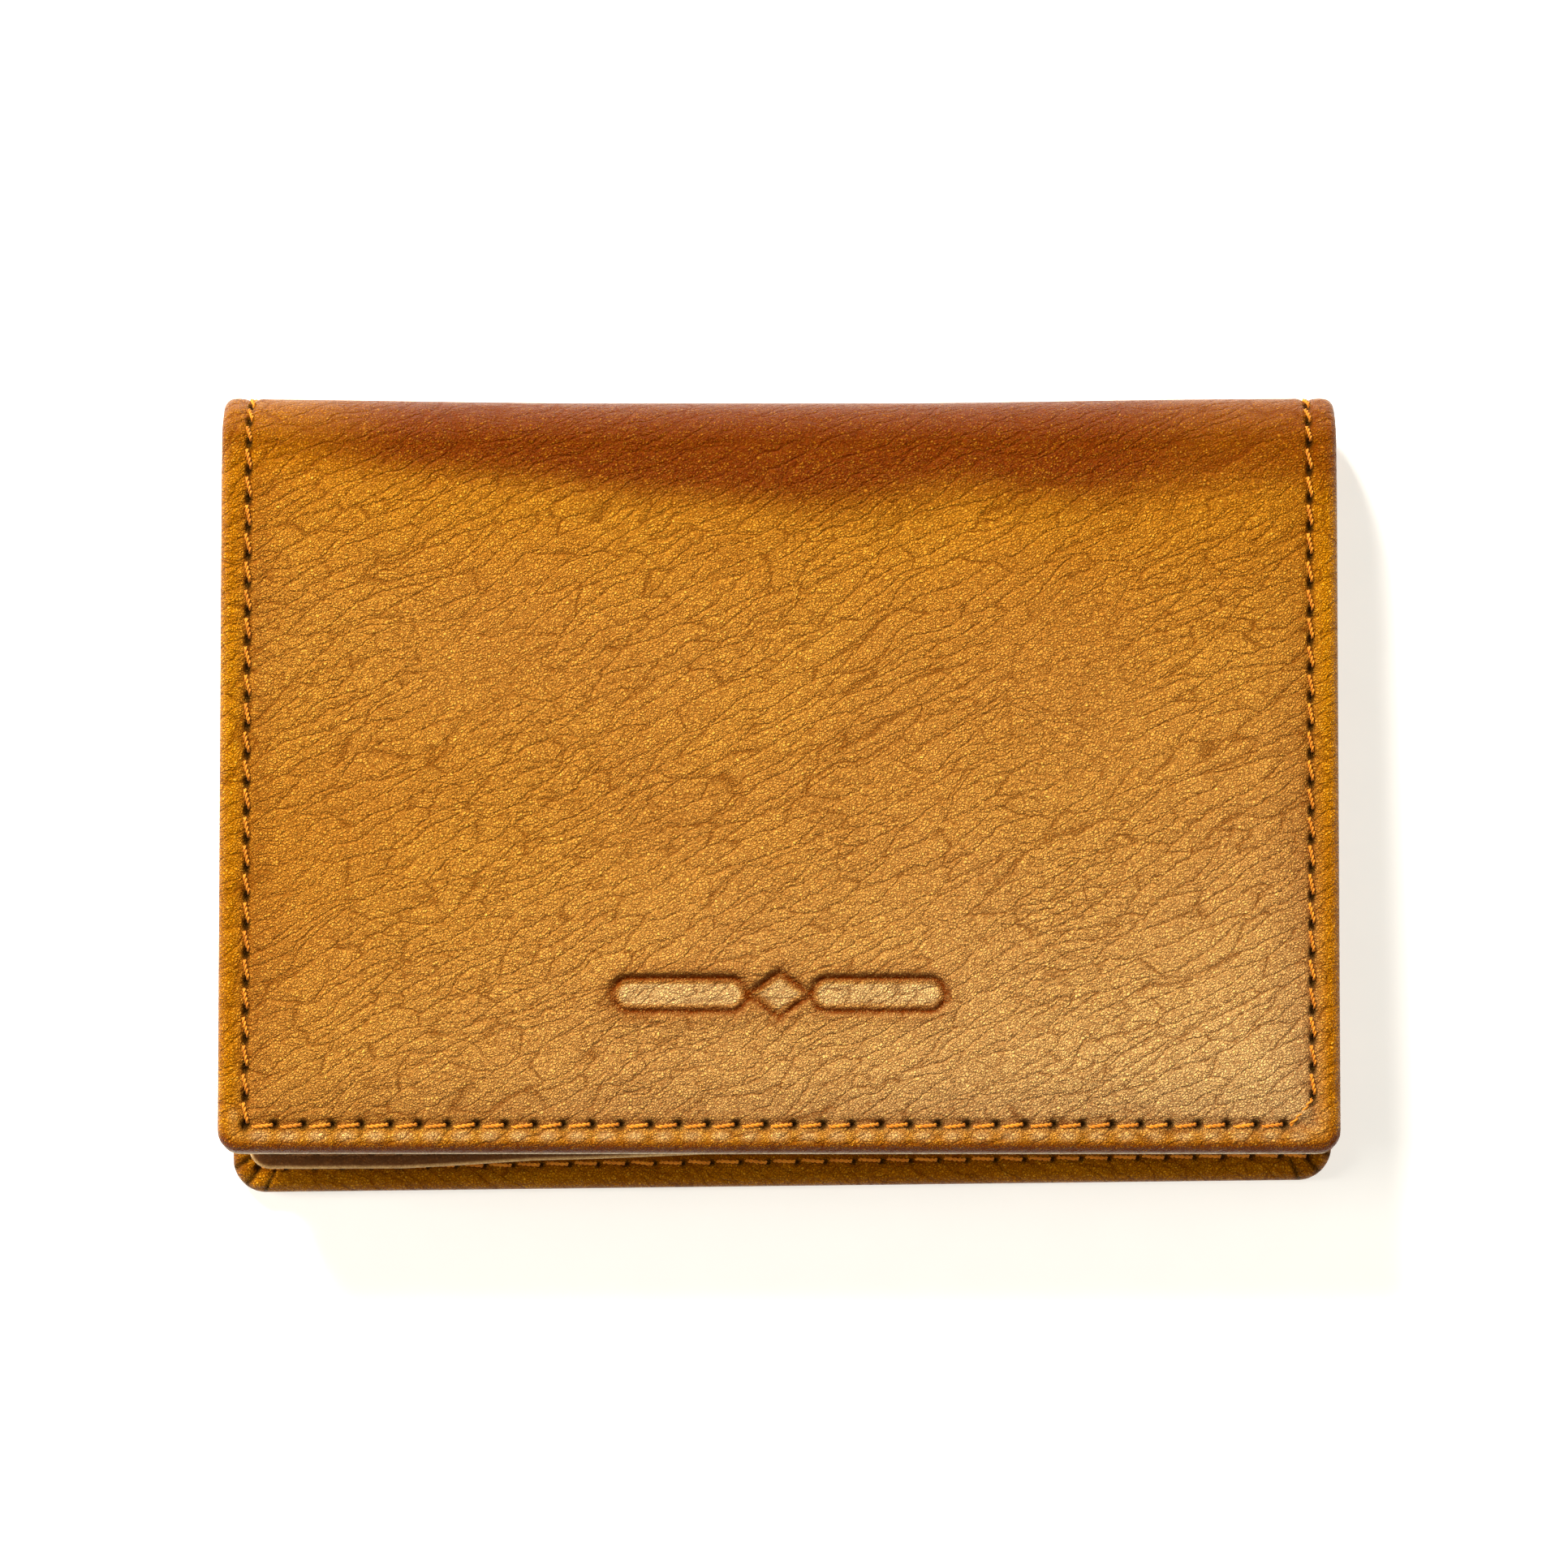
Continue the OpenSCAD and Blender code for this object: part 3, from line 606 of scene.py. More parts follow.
def skin_masks(u, t):
    """Masks for the outer leather: holes painted near black, which is painted shade; darkening along the
    stitch groove, inside the row and in and round the stamped ornament, with painted shade along the fold and
    on the front rim; and paler places: inside the ornament, a painted highlight on the puffs along the front
    rim and a painted sheen towards the lower right of the front.
    """
    gap = rim_gap(u, t)
    row, hole, phase = sewing(u, t)
    front = ease((t - fold_long) / 6)
    between = between_holes(phase)
    # Painted shade: the needle holes are painted near black.
    needle = np.exp(-((hole / 0.56) ** 4)) * 0.98
    channel = 0.50 * np.exp(-((row / 0.50) ** 2))
    near_row = 0.30 * np.exp(-((np.maximum(gap - row_in(t), 0) / 3.2) ** 2)) * (gap > row_in(t) - 0.3)
    # Painted shade: a dark band over the top of the fold and the first few millimetres of the front leaf.
    edge_t = fold_long + 8.0 + 1.0 * drift(u, t, 30, 9)
    edge_t = edge_t - 3.2 * ease((-u - 8) / 40) - 1.0 * ease((u - 20) / 25)
    fold_shade = ease((t - 4.0) / 4.0) * ease((edge_t - t) / 5.5)
    fold_shade = fold_shade * (1 - 0.45 * ease((-u - 34) / 14)) * (1 - 0.25 * ease((u - 30) / 15))
    # Painted shade on the rolled front rim.
    rim = np.exp(-((gap / 1.05) ** 4)) * ease((t - front_end + 3) / 2)
    mark = mark_field(u, t)
    dark_and_shade = np.maximum.reduce([channel, near_row, fold_shade, rim,
                              np.exp(-(((mark - 0.30) / 0.44) ** 2)),
                              0.42 * ease((2.6 - mark) / 2.4) * (mark > 0)])
    # Painted sheen: the front grows paler towards its lower right, with a faint pale band below the fold; the
    # rear leaf's outer face is paler too.
    down, right = np.clip((t - fold_long - 6) / 60, 0, 1), (u + 50) / 100
    painted_sheen = down ** 1.8 * (0.24 + 0.84 * right)
    painted_sheen = painted_sheen + 0.14 * np.exp(-(((down - 0.20) / 0.24) ** 2)) * (1 - right * 0.4)
    painted_sheen = painted_sheen * front + 0.15 * ease(-t / 10)
    # Painted highlight: the puffs between the holes along the front rim are paler.
    puff_highlight = 0.80 * np.exp(-(((gap - 1.6) / 0.5) ** 2)) * (0.20 + 0.80 * between)
    puff_highlight = puff_highlight * ease((t - front_end + 5) / 3)
    rubbed = np.maximum.reduce([0.9 * ease(-(mark + 0.12) / 0.3), puff_highlight,
                                painted_sheen * ease((gap - 0.9) / 3.0)])
    return needle, dark_and_shade * (1 - 0.8 * ease(-(mark + 0.12) / 0.3)), np.clip(rubbed, 0, 1)


hole_steps = np.array([-0.52, -0.34, -0.17, 0, 0.17, 0.34, 0.52, 0.92, 1.38, 1.80])
rim_steps = np.array([0.02, 0.07, 0.15, 0.27, 0.42, 0.60, 0.80, 1.0, 1.2, 1.45, 1.7, 1.95, 2.2, 2.45,
                      2.65, 2.85, 3.1, 3.4, 3.8, 4.3, 4.9, 5.5, 5.9, 6.0, 6.08, 6.18, 6.5, 7.0])
skin_columns = lines(
    -half_wide, half_wide,
    (front_holes[:, None] + hole_steps).ravel(), half_wide - rim_steps, rim_steps - half_wide)
mark_rows = np.arange(-4.5, 4.6, 0.17) + mark_at
skin_lines = ((side_holes[:, None] + hole_steps).ravel(), rim_steps - rear_long, front_end - rim_steps,
              mark_rows, np.arange(0, fold_long, 0.2))

# The leather is one piece; it is drawn in five lengths, each spanning one joint.
lengths = [
    ("rear_leaf", -rear_long, fold_holes[1], "rear_leaf", "spine_lower", 0.0, 1.64),
    ("fold_lower", fold_holes[1], fold_holes[2], "spine_lower", "spine_mid_lower", 2.87, 4.39),
    ("fold_middle", fold_holes[2], fold_holes[4], "spine_mid_lower", "spine_mid_upper", 5.83, 8.69),
    ("fold_upper", fold_holes[4], fold_holes[5], "spine_mid_upper", "spine_upper", 10.13, 11.65),
    ("front_leaf", fold_holes[5], front_end, "spine_upper", "front_leaf", fold_long - 1.64, fold_long),
]


def bend(piece, length):
    """Bakes a piece's placement into its mesh."""
    a, b, low, high = length[3:]
    start, end = place(0, low, 0) * 0.001, place(0, high, 0) * 0.001
    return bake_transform(piece)


skin_nodes = {
    "rear_leaf": ["rear_cover"], "fold_lower": ["spine_cover_lower"],
    "fold_middle": ["spine_cover_mid_lower", "spine_cover_mid_upper"],
    "fold_upper": ["spine_cover_upper"], "front_leaf": ["front_cover"],
}
for length in lengths:
    u, v = np.meshgrid(skin_columns, lines(length[1], length[2], *skin_lines, least=0.07))
    t = round_corners(u, v, rear_corner, front_corner)
    gap, outer, inner = skin_faces(u, t)
    needle, dark_and_shade, rubbed = skin_masks(u, t)
    # Painted shade on the turned margin: its holes and the bottoms of the rear corner pleats are painted near
    # black.
    inner_hole_and_pleat_shade = 0.95 * np.exp(-((sewing(u, t)[1] / 0.34) ** 4))
    # Painted shade: the turned margin's inner face is darkened, less within about three millimetres of the
    # rim, for the rear margin lying in shade under the front leaf.
    inner_margin_shade = np.clip(0.62 - 0.35 * ease((3.0 - gap) / 2.0) * ease((2.0 - np.abs(gap - 1.2)) / 1.0), 0, 1)
    inner_hole_and_pleat_shade = np.maximum(inner_hole_and_pleat_shade, 0.92 * pleat_shade(u, t))
    inside = {"needle": (needle, inner_hole_and_pleat_shade), "burnish": (dark_and_shade, inner_margin_shade),
              "rubbed": (rubbed, 0 * rubbed)}
    skin = two_faced(length[0] + "_skin", u, t, outer, inner, cognac,
                     keep_upper=gap < margin + 0.55, masks=inside)
    bend(skin, length)
    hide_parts(*skin_nodes[length[0]])


# ---- Edge stitching ----
# One row of twisted two-ply waxed thread, sewn by lockstitch through margin and
# cover round both leaves and along the sides of the fold. Each stitch rises
# out of one hole, lies over the leather at a slant and dives into the next.


def thread_of(name, low, high, old):
    """Twisted waxed thread, its fibres between two tones and its older lengths a third."""
    material, tree, shader = new_finish(name)
    at = add(tree, "Attribute", attribute_name="flat_place")["Vector"]
    fibre = add(tree, "TexNoise", {"Vector": at, "Scale": 14.0, "Detail": 4.0, "Roughness": 0.7})["Fac"]
    slow = add(tree, "TexNoise", {"Vector": at, "Scale": 0.5, "Detail": 2.0})["Fac"]
    tone = mixed(tree, ramp(tree, fibre, 0.35, 0.65), low, high)
    tone = mixed(tree, ramp(tree, slow, 0.40, 0.60, 0.0, 0.35), tone, old)
    tree.links.new(tone, shader["Base Color"])
    tree.links.new(ramp(tree, fibre, 0.3, 0.7, 0.42, 0.62), shader["Roughness"])
    tree.links.new(add(tree, "Bump", {"Height": fibre, "Distance": 0.00004})[0], shader["Normal"])
    shader["Sheen Weight"].default_value = 0.08
    shader["Specular IOR Level"].default_value = 0.35
    shader["Specular Tint"].default_value = (1, 0.8, 0.4, 1)
    return material


amber_thread = thread_of("waxed_thread", dye(168, 88, 6), dye(236, 152, 36), dye(150, 70, 2))


def sew(start, end, surface, out, ply=0.108, apart=0.092, turns=2.4, dive=0.36, proud=0.15,
        points=26, sides=7):
    """Stitches from start to end, (n, 2) places on the flat; out is -1 on an outer face, 1 on an inner."""
    n = len(start)
    x = np.linspace(0, 1, points)
    along = end - start
    along = along / np.linalg.norm(along, axis=1, keepdims=True)
    aside = np.stack([out * along[:, 1], -out * along[:, 0]], -1)
    centre = start[:, None] + (end - start)[:, None] * x[None, :, None]
    lift = -dive + (dive + proud) * (1 - np.abs(2 * x - 1) ** 5)
    base = surface(centre[..., 0], centre[..., 1])
    depth = base + out * lift[None, :]
    taper = np.clip(np.minimum(x, 1 - x) * points / 1.2, 0.08, 1)
    a = np.linspace(0, 2 * math.pi, sides, endpoint=False)
    quads = []
    ring = np.arange(points * sides).reshape(points, sides)
    nxt = np.roll(ring, -1, axis=1)
    tube = np.stack([ring[:-1], nxt[:-1], nxt[1:], ring[1:]], -1).reshape(-1, 4)
    flats = []
    for strand in (0, math.pi):
        twist = 2 * math.pi * turns * x + strand
        off_n = apart * np.cos(twist)
        off_b = apart * np.sin(twist)
        rn = off_n[None, :, None] + ply * (taper[:, None] * np.cos(a))[None]
        rb = off_b[None, :, None] + ply * (taper[:, None] * np.sin(a))[None]
        u = centre[..., 0][..., None] + aside[:, 0][:, None, None] * rb
        t = centre[..., 1][..., None] + aside[:, 1][:, None, None] * rb
        w = depth[..., None] + out * rn
        u, t, w = np.broadcast_arrays(u, t, w)
        flats.append(np.stack([u, t, w], -1).reshape(-1, 3))
        count = points * sides
        quads.append((tube[None] + (np.arange(n) * count)[:, None, None]).reshape(-1, 4))
    return flats, quads


def thread_piece(name, runs, where=place, finish=amber_thread):
    """One piece of thread from several runs of stitches."""
    flats, quads, start = [], [], 0
    for run_flats, run_quads in runs:
        for f, q in zip(run_flats, run_quads):
            flats.append(f)
            quads.append(q + start)
            start += len(f)
    flat = np.concatenate(flats)
    points = where(flat[:, 0], flat[:, 1], flat[:, 2])
    return build(name, [(points, np.concatenate(quads))], finish, flat)


def outer_bed(u, t):
    """The outer face under a stitch, without its holes."""
    gap = rim_gap(u, t)
    front, rear = ease((t - fold_long) / 6), ease(-t / 6)
    return 0.24 - 0.30 * front * ease((gap - 3.0) / 4.5) + 0.22 * rear


def inner_bed(u, t):
    return edge_thick(t) - 0.14


def side_stitches(sign, low, high, slant, along_first):
    """Starts and ends of the side row's stitches between two places along the leather."""
    holes = side_holes[(side_holes > low - 1e-6) & (side_holes < high + 1e-6)]
    if sign > 0 and high > front_end - 1:
        holes = holes[:-1]
    draw = np.random.default_rng(int(abs(low) * 100) + (3 if sign > 0 else 0))
    shake = draw.uniform(-0.06, 0.06, len(holes))
    x = sign * (half_wide - row_in(holes)) + shake
    start = np.stack([x[:-1] + slant[0], holes[:-1] + along_first], -1)
    end = np.stack([x[1:] + slant[1], holes[1:] - 0.05], -1)
    return start, end


def end_stitches(holes, t, lead, aside):
    draw = np.random.default_rng(int(abs(t) * 10))
    shake = draw.uniform(-0.05, 0.05, len(holes))
    start = np.stack([holes[:-1] + lead, t + aside + shake[:-1]], -1)
    end = np.stack([holes[1:] - 0.06, t + shake[1:]], -1)
    return start, end


thread_nodes = {
    "rear_leaf": ["rear_edge_stitching"], "fold_lower": ["spine_stitching_lower"],
    "fold_middle": ["spine_stitching_mid_lower", "spine_stitching_mid_upper"],
    "fold_upper": ["spine_stitching_upper"], "front_leaf": ["front_edge_stitching"],
}
for length in lengths:
    low, high = length[1:3]
    runs = []
    for sign in (-1, 1):
        start, end = side_stitches(sign, low, high, (-0.26, 0.26), 0.50)
        runs.append(sew(start, end, outer_bed, -1))
        if low < -1 or high < fold_long:
            start, end = side_stitches(sign, low, high, (-0.16, 0.16), 0.32)
            runs.append(sew(start, end, inner_bed, 1))
    if length[0] == "rear_leaf":
        row_t = -rear_long + rear_row
        runs.append(sew(*end_stitches(rear_holes, row_t, 0.36, -0.22), outer_bed, -1))
        runs.append(sew(*end_stitches(rear_holes, row_t, 0.36, 0.22), inner_bed, 1))
    if length[0] == "front_leaf":
        row_t = front_end - front_row
        start, end = end_stitches(front_holes, row_t, 0.42, 0.30)
        end[-1] = (half_wide - front_row, side_holes[-2] + 0.2)
        runs.append(sew(start, end, outer_bed, -1))
    thread = thread_piece(length[0] + "_thread", runs)
    bend(thread, length)
    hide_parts(*thread_nodes[length[0]])


# ---- Boards and foam ----
# A thin grey fibre board stiffens each leaf, and under the front leather lies a
# thin sheet of soft foam that gives the front its slight crown.

board_finish, tree, shader = new_finish("fibre_board")
at = add(tree, "TexCoord")["Object"]
pulp = add(tree, "TexNoise", {"Vector": at, "Scale": 2600.0, "Detail": 6.0, "Roughness": 0.7})["Fac"]
fleck = add(tree, "TexVoronoi", {"Vector": at, "Scale": 700.0})["Distance"]
tone = mixed(tree, ramp(tree, pulp, 0.35, 0.65), dye(150, 146, 134), dye(196, 190, 176))
tone = mixed(tree, ramp(tree, fleck, 0.0, 0.18, 0.35, 0.0), tone, dye(92, 84, 74))
tree.links.new(tone, shader["Base Color"])
tree.links.new(ramp(tree, pulp, 0.3, 0.7, 0.75, 0.92), shader["Roughness"])
tree.links.new(add(tree, "Bump", {"Height": pulp, "Distance": 0.00005})[0], shader["Normal"])
for node_name in ("rear_stiffener", "front_stiffener"):
    board = frame["nodes"][node_name]
    board.data.materials.clear()
    board.data.materials.append(board_finish)

foam_finish, tree, shader = new_finish("soft_foam")
at = add(tree, "Attribute", attribute_name="flat_place")["Vector"]
bubble = add(tree, "TexVoronoi", {"Vector": at, "Scale": 5.5}, feature="SMOOTH_F1")["Distance"]
tree.links.new(mixed(tree, ramp(tree, bubble, 0.1, 0.6), dye(214, 208, 190), dye(244, 240, 228)),
               shader["Base Color"])
tree.links.new(ramp(tree, bubble, 0.1, 0.6, 0.95, 0.8), shader["Roughness"])
tree.links.new(add(tree, "Bump", {"Height": bubble, "Distance": 0.0001})[0], shader["Normal"])
shader["Subsurface Weight"].default_value = 0.1


def outline_gap(u, t, half, low, high, r):
    """Distance in from a rectangle with rounded corners at its far end, on the flat."""
    side, ends = half - np.abs(u), np.minimum(t - low, high - t)
    gap = np.minimum(side, ends)
    if r:
        near = (side < r) & (ends < r)
        rounded = r - np.hypot(np.maximum(r - side, 0), np.maximum(r - ends, 0))
        gap = np.where(near, np.minimum(gap, rounded), gap)
    return np.maximum(gap, 0)


edge_steps = np.array([0.02, 0.05, 0.10, 0.17, 0.26, 0.40, 0.65, 1.0, 1.5, 2.2, 3.0, 4.0])


def flat_grid(half, low, high, low_r, high_r, step=0.9, extra_u=(), extra_t=()):
    """Grid over a sheet with rounded corners: fine near its edges, even inside."""
    columns = lines(-half, half, edge_steps - half, half - edge_steps, np.arange(-half, half, step),
                    np.asarray(extra_u, float), least=0.02)
    rows = lines(low, high, low + edge_steps, high - edge_steps, np.arange(low, high, step),
                 np.asarray(extra_t, float), least=0.02)
    u, v = np.meshgrid(columns, rows)
    return u, round_corners(u, v, low_r, high_r, half, low, high)


def cut_sheet(name, u, t, gap, under, thick, material, where=place, relief=0.0, masks=None):
    """A closed sheet of even thickness with softly rounded edges; under is where its lower face lies."""
    over = np.sqrt(1 - np.clip(1 - gap / (thick / 2), 0, 1) ** 2)
    lower = under + thick / 2 * (1 - over)
    upper = under + thick / 2 * (1 + over) + relief * over
    return two_faced(name, u, t, lower, upper, material, where, masks=masks)


inset = 1.36
foam_half, foam_low, foam_high = half_wide - inset, fold_long + 0.3, front_end - inset
u, t = flat_grid(foam_half, foam_low, foam_high, 0.8, 0.8, 1.4)
gap = outline_gap(u, t, foam_half, foam_low, foam_high, 0.8)
crown = 0.16 * ease((gap - 1.5) / 6)
over = np.sqrt(1 - np.clip(1 - gap / 0.34, 0, 1) ** 2)
foam_middle, foam_half_thick = 1.25, 0.33
foam = two_faced("front_padding_foam", u, t, foam_middle - foam_half_thick * over - crown * over,
                 foam_middle + foam_half_thick * over, foam_finish)
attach(foam, "front_leaf")
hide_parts("front_padding")


# ---- Linings ----
# Thin dyed leather lines the rear leaf inside its margin and the hollow of the
# fold. The front leaf is lined to its very edge with tan leather, whose raw
# pale edge shows as a fine light line under the rolled rim.

brown = leather("brown_lining", dye(150, 92, 40), dye(138, 82, 32), dye(98, 52, 16), dye(54, 25, 4),
                dye(214, 178, 120), dye(168, 108, 56), shine=0.42, cells=3.6, depth=0.00006,
                crease=0.25, glints=0.5, spec_tint=(1, 0.70, 0.40, 1), spec=0.26)
tan = leather("tan_lining", dye(150, 98, 46), dye(138, 88, 38), dye(100, 58, 20), dye(72, 40, 12),
              dye(226, 208, 176), dye(168, 114, 60), shine=0.48, cells=3.8, depth=0.00005,
              crease=0.20, glints=0.5, spec_tint=(1, 0.72, 0.44, 1), spec=0.28)


def plain_masks(gap, dark_and_shade=0.0, dark_edge=0.0):
    value = dark_and_shade + dark_edge * np.exp(-((gap / 0.35) ** 2))
    zero = np.zeros_like(gap)
    return {"needle": (zero, zero), "burnish": (value, value), "rubbed": (zero, zero)}


lining_half = half_wide - margin - 0.03
u, t = flat_grid(lining_half, -rear_long + margin + 0.03, -0.04, 1.0, 0.0)
gap = outline_gap(u, t, lining_half, -rear_long + margin + 0.03, -0.04, 0)
rear_lining = cut_sheet("rear_lining_leather", u, t, gap, 1.30, 0.35, brown,
                        relief=0.02 * drift(u, t, 14, 3), masks=plain_masks(gap))
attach(rear_lining, "rear_leaf")
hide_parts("rear_lining")

tan_half = half_wide - 0.10
u, t = flat_grid(tan_half, fold_long + 0.04, front_end + 0.14, 0.0, front_corner - 0.2,
                 extra_u=(front_holes[:, None] + np.array([-0.3, 0, 0.3])).ravel(),
                 extra_t=np.concatenate([side_holes, side_holes + 0.3, side_holes - 0.3,
                                         front_end - np.arange(2, 3.4, 0.15)]))
gap = outline_gap(u, t, tan_half, fold_long + 0.04, front_end + 0.14, 0)
row, hole, _ = sewing(u, t)
dimple = -0.08 * np.exp(-((row / 0.4) ** 2)) - 0.16 * np.exp(-((hole / 0.3) ** 2))
tan_masks = plain_masks(gap)
raw_edge = np.exp(-((gap / 0.30) ** 4))
tan_masks["rubbed"] = (raw_edge, raw_edge)
# Painted shade: the needle holes on the lining's inner face are painted dark.
tan_masks["needle"] = (np.zeros_like(gap), 0.7 * np.exp(-((hole / 0.33) ** 4)))
front_lining = cut_sheet("front_lining_leather", u, t, gap, 2.11, 0.33, tan, relief=dimple, masks=tan_masks)
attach(front_lining, "front_leaf")
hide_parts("front_lining")


def lining_bed(u, t):
    return 2.38 + 0 * u


runs = []
for sign in (-1, 1):
    start, end = side_stitches(sign, fold_long, front_end, (-0.16, 0.16), 0.32)
    runs.append(sew(start, end, lining_bed, 1))
runs.append(sew(*end_stitches(front_holes, front_end - front_row, 0.36, -0.22), lining_bed, 1))
bobbin = thread_piece("front_leaf_bobbin_thread", runs)
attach(bobbin, "front_leaf")

lining_nodes = {
    "rear_leaf": ["spine_lining_lower"], "fold_lower": [],
    "fold_middle": ["spine_lining_mid_lower", "spine_lining_mid_upper"],
    "fold_upper": [], "front_leaf": ["spine_lining_upper"],
}
hollow_half = half_wide - 1.33
for length in lengths:
    low, high = max(length[1], 0.02), min(length[2], fold_long - 0.02)
    columns = lines(-hollow_half, hollow_half, edge_steps - hollow_half, hollow_half - edge_steps,
                    np.arange(-hollow_half, hollow_half, 1.0), least=0.02)
    u, t = np.meshgrid(columns, lines(low, high, np.arange(low, high, 0.18), least=0.05))
    gap = np.maximum(hollow_half - np.abs(u), 0)
    lining = cut_sheet(length[0] + "_hollow_lining", u, t, gap, 0.92, 0.33, brown,
                       relief=0.03 * drift(u, t, 9, 6), masks=plain_masks(gap))
    bend(lining, length)
    if lining_nodes[length[0]]:
        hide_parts(*lining_nodes[length[0]])


# ---- Card slots ----
# Each leaf has two slots: a leather strip sewn down at its short ends, woven
# fabric carrying on below it, and a leather panel sewn down on three sides.
# Each mouth is pared, stitched and cut with a shallow thumb notch.

mouth_a, mouth_b, thumb_r, thumb_deep = 13.0, 24.0, 9.0, 3.2
panel_half = half_wide - 3.2
slot_thick, cloth_thick, card_gap = 0.45, 0.15, 0.85
bottom_wall = 58.5
slot_seam_in, mouth_seam_in, slot_stitch = 1.2, 1.5, 2.9

weave_group, takes, gives = new_group(
    "plain_weave", {"Place": ("Vector", None), "Threads per mm": ("Float", 2.6)},
    {"Height": "Float", "Gap": "Float"})
tree = weave_group
spread = add(tree, "VectorMath", {0: takes["Place"], "Scale": takes["Threads per mm"]}, operation="SCALE")[0]
xyz = add(tree, "SeparateXYZ", {0: spread})
warp_wave = maths(tree, "ABSOLUTE", maths(tree, "SINE", maths(tree, "MULTIPLY", xyz[0], math.pi)))
weft_wave = maths(tree, "ABSOLUTE", maths(tree, "SINE", maths(tree, "MULTIPLY", xyz[1], math.pi)))
over_x = maths(tree, "FLOOR", xyz[0])
over_y = maths(tree, "FLOOR", xyz[1])
turn_about = maths(tree, "MODULO", maths(tree, "ABSOLUTE", maths(tree, "ADD", over_x, over_y)), 2.0)
one = maths(tree, "MULTIPLY", warp_wave, turn_about)
other = maths(tree, "MULTIPLY", weft_wave, maths(tree, "SUBTRACT", 1.0, turn_about))
tree.links.new(maths(tree, "ADD", one, other), gives["Height"])
tree.links.new(maths(tree, "SUBTRACT", 1.0, maths(tree, "MULTIPLY", warp_wave, weft_wave), clamp=True),
               gives["Gap"])

cloth_finish, tree, shader = new_finish("pocket_cloth")
at = add(tree, "Attribute", attribute_name="flat_place")["Vector"]
weave = use(tree, weave_group, {"Place": at, "Threads per mm": 2.6})
slub = add(tree, "TexNoise", {"Vector": at, "Scale": 0.8, "Detail": 4.0})["Fac"]
tone = mixed(tree, ramp(tree, slub, 0.35, 0.65), dye(74, 50, 32), dye(98, 70, 46))
tone = mixed(tree, maths(tree, "MULTIPLY", weave["Gap"], 0.6), tone, dye(34, 22, 14))
tree.links.new(tone, shader["Base Color"])
tree.links.new(ramp(tree, weave["Height"], 0.0, 1.0, 0.9, 0.7), shader["Roughness"])
tree.links.new(add(tree, "Bump", {"Height": weave["Height"], "Distance": 0.00006})[0], shader["Normal"])
shader["Sheen Weight"].default_value = 0.3


def mouth_line(u, mouth):
    """The mouth's edge, with its thumb notch."""
    reach = math.sqrt(thumb_r ** 2 - (thumb_r - thumb_deep) ** 2)
    cut = np.sqrt(np.maximum(thumb_r ** 2 - u * u, 0)) - (thumb_r - thumb_deep)
    lip = 0.35 * np.exp(-(((np.abs(u) - reach) / 0.7) ** 2))
    return mouth + np.maximum(cut, 0) + lip * 0.5


pared_steps = np.array([0.02, 0.05, 0.1, 0.17, 0.26, 0.4, 0.6, 0.85, 1.1, 1.3, 1.5, 1.7, 1.95, 2.3, 2.8, 3.4])


def slot_panel(name, leaf, mouth, far, high, side, closed, node):
    """A slot's leather: d runs from the fold, high is its open height, side its height where sewn down."""
    columns = lines(-panel_half, panel_half, edge_steps - panel_half, panel_half - edge_steps,
                    np.arange(-panel_half, panel_half, 0.7), np.arange(-9, 9, 0.3), least=0.02)
    v = lines(0, 1, pared_steps / (far - mouth), 1 - edge_steps / (far - mouth),
              np.arange(0, 1, 0.8 / (far - mouth)), least=0.001)
    u, v = np.meshgrid(columns, v)
    start = mouth_line(u, mouth)
    stop = np.full_like(u, far)
    if closed:
        x = np.clip(np.abs(u) - (panel_half - 1.2), 0, 1.2)
        stop = far - (1.2 - np.sqrt(1.44 - x * x))
    d = start + (stop - start) * v
    slope = np.gradient(mouth_line(columns, mouth), columns)
    to_mouth = (d - start) / np.sqrt(1 + slope ** 2)
    side_gap = panel_half - np.abs(u)
    far_gap = far - d
    gap = np.minimum.reduce([to_mouth, side_gap, stop - d])
    sewn = np.minimum(side_gap, far_gap) if closed else side_gap
    rise_up = ease((sewn - 1.9) / 3.2)
    slack = 0.10 * np.sin(np.clip(sewn / panel_half, 0, 1) * math.pi / 2) * drift(u, d, 30, 4)
    under = side + (high - side) * rise_up + slack * rise_up * 0.5
    row_mouth = np.where(np.abs(u) > notch_clear, np.abs(to_mouth - mouth_seam_in), 9.0)
    row_mouth = np.where(side_gap < 2.6, 9.0, row_mouth)
    row_side = np.abs(side_gap - slot_seam_in)
    row = np.minimum(row_mouth, row_side)
    if closed:
        row = np.minimum(row, np.abs(far_gap - slot_seam_in))
    roll = 0.07 * np.exp(-(((to_mouth - 0.6) / 0.5) ** 2))
    relief = roll - 0.12 * np.exp(-((row / 0.28) ** 2))
    t = -d[::-1] if leaf == "rear_leaf" else fold_long + d
    flip = (slice(None, None, -1),) if leaf == "rear_leaf" else (slice(None),)
    u, gap, under, relief, row = (a[flip] for a in (u, gap, under, relief, row))
    dark_and_shade = 0.5 * np.exp(-((row / 0.4) ** 2)) + 0.35 * np.exp(-((gap / 0.4) ** 2))
    zero = np.zeros_like(gap)
    masks = {"needle": (zero, zero), "burnish": (0 * dark_and_shade, dark_and_shade), "rubbed": (zero, zero)}
    piece = cut_sheet(name, u, t, gap, under, slot_thick, cognac, relief=relief, masks=masks)
    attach(piece, leaf)
    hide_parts(node)


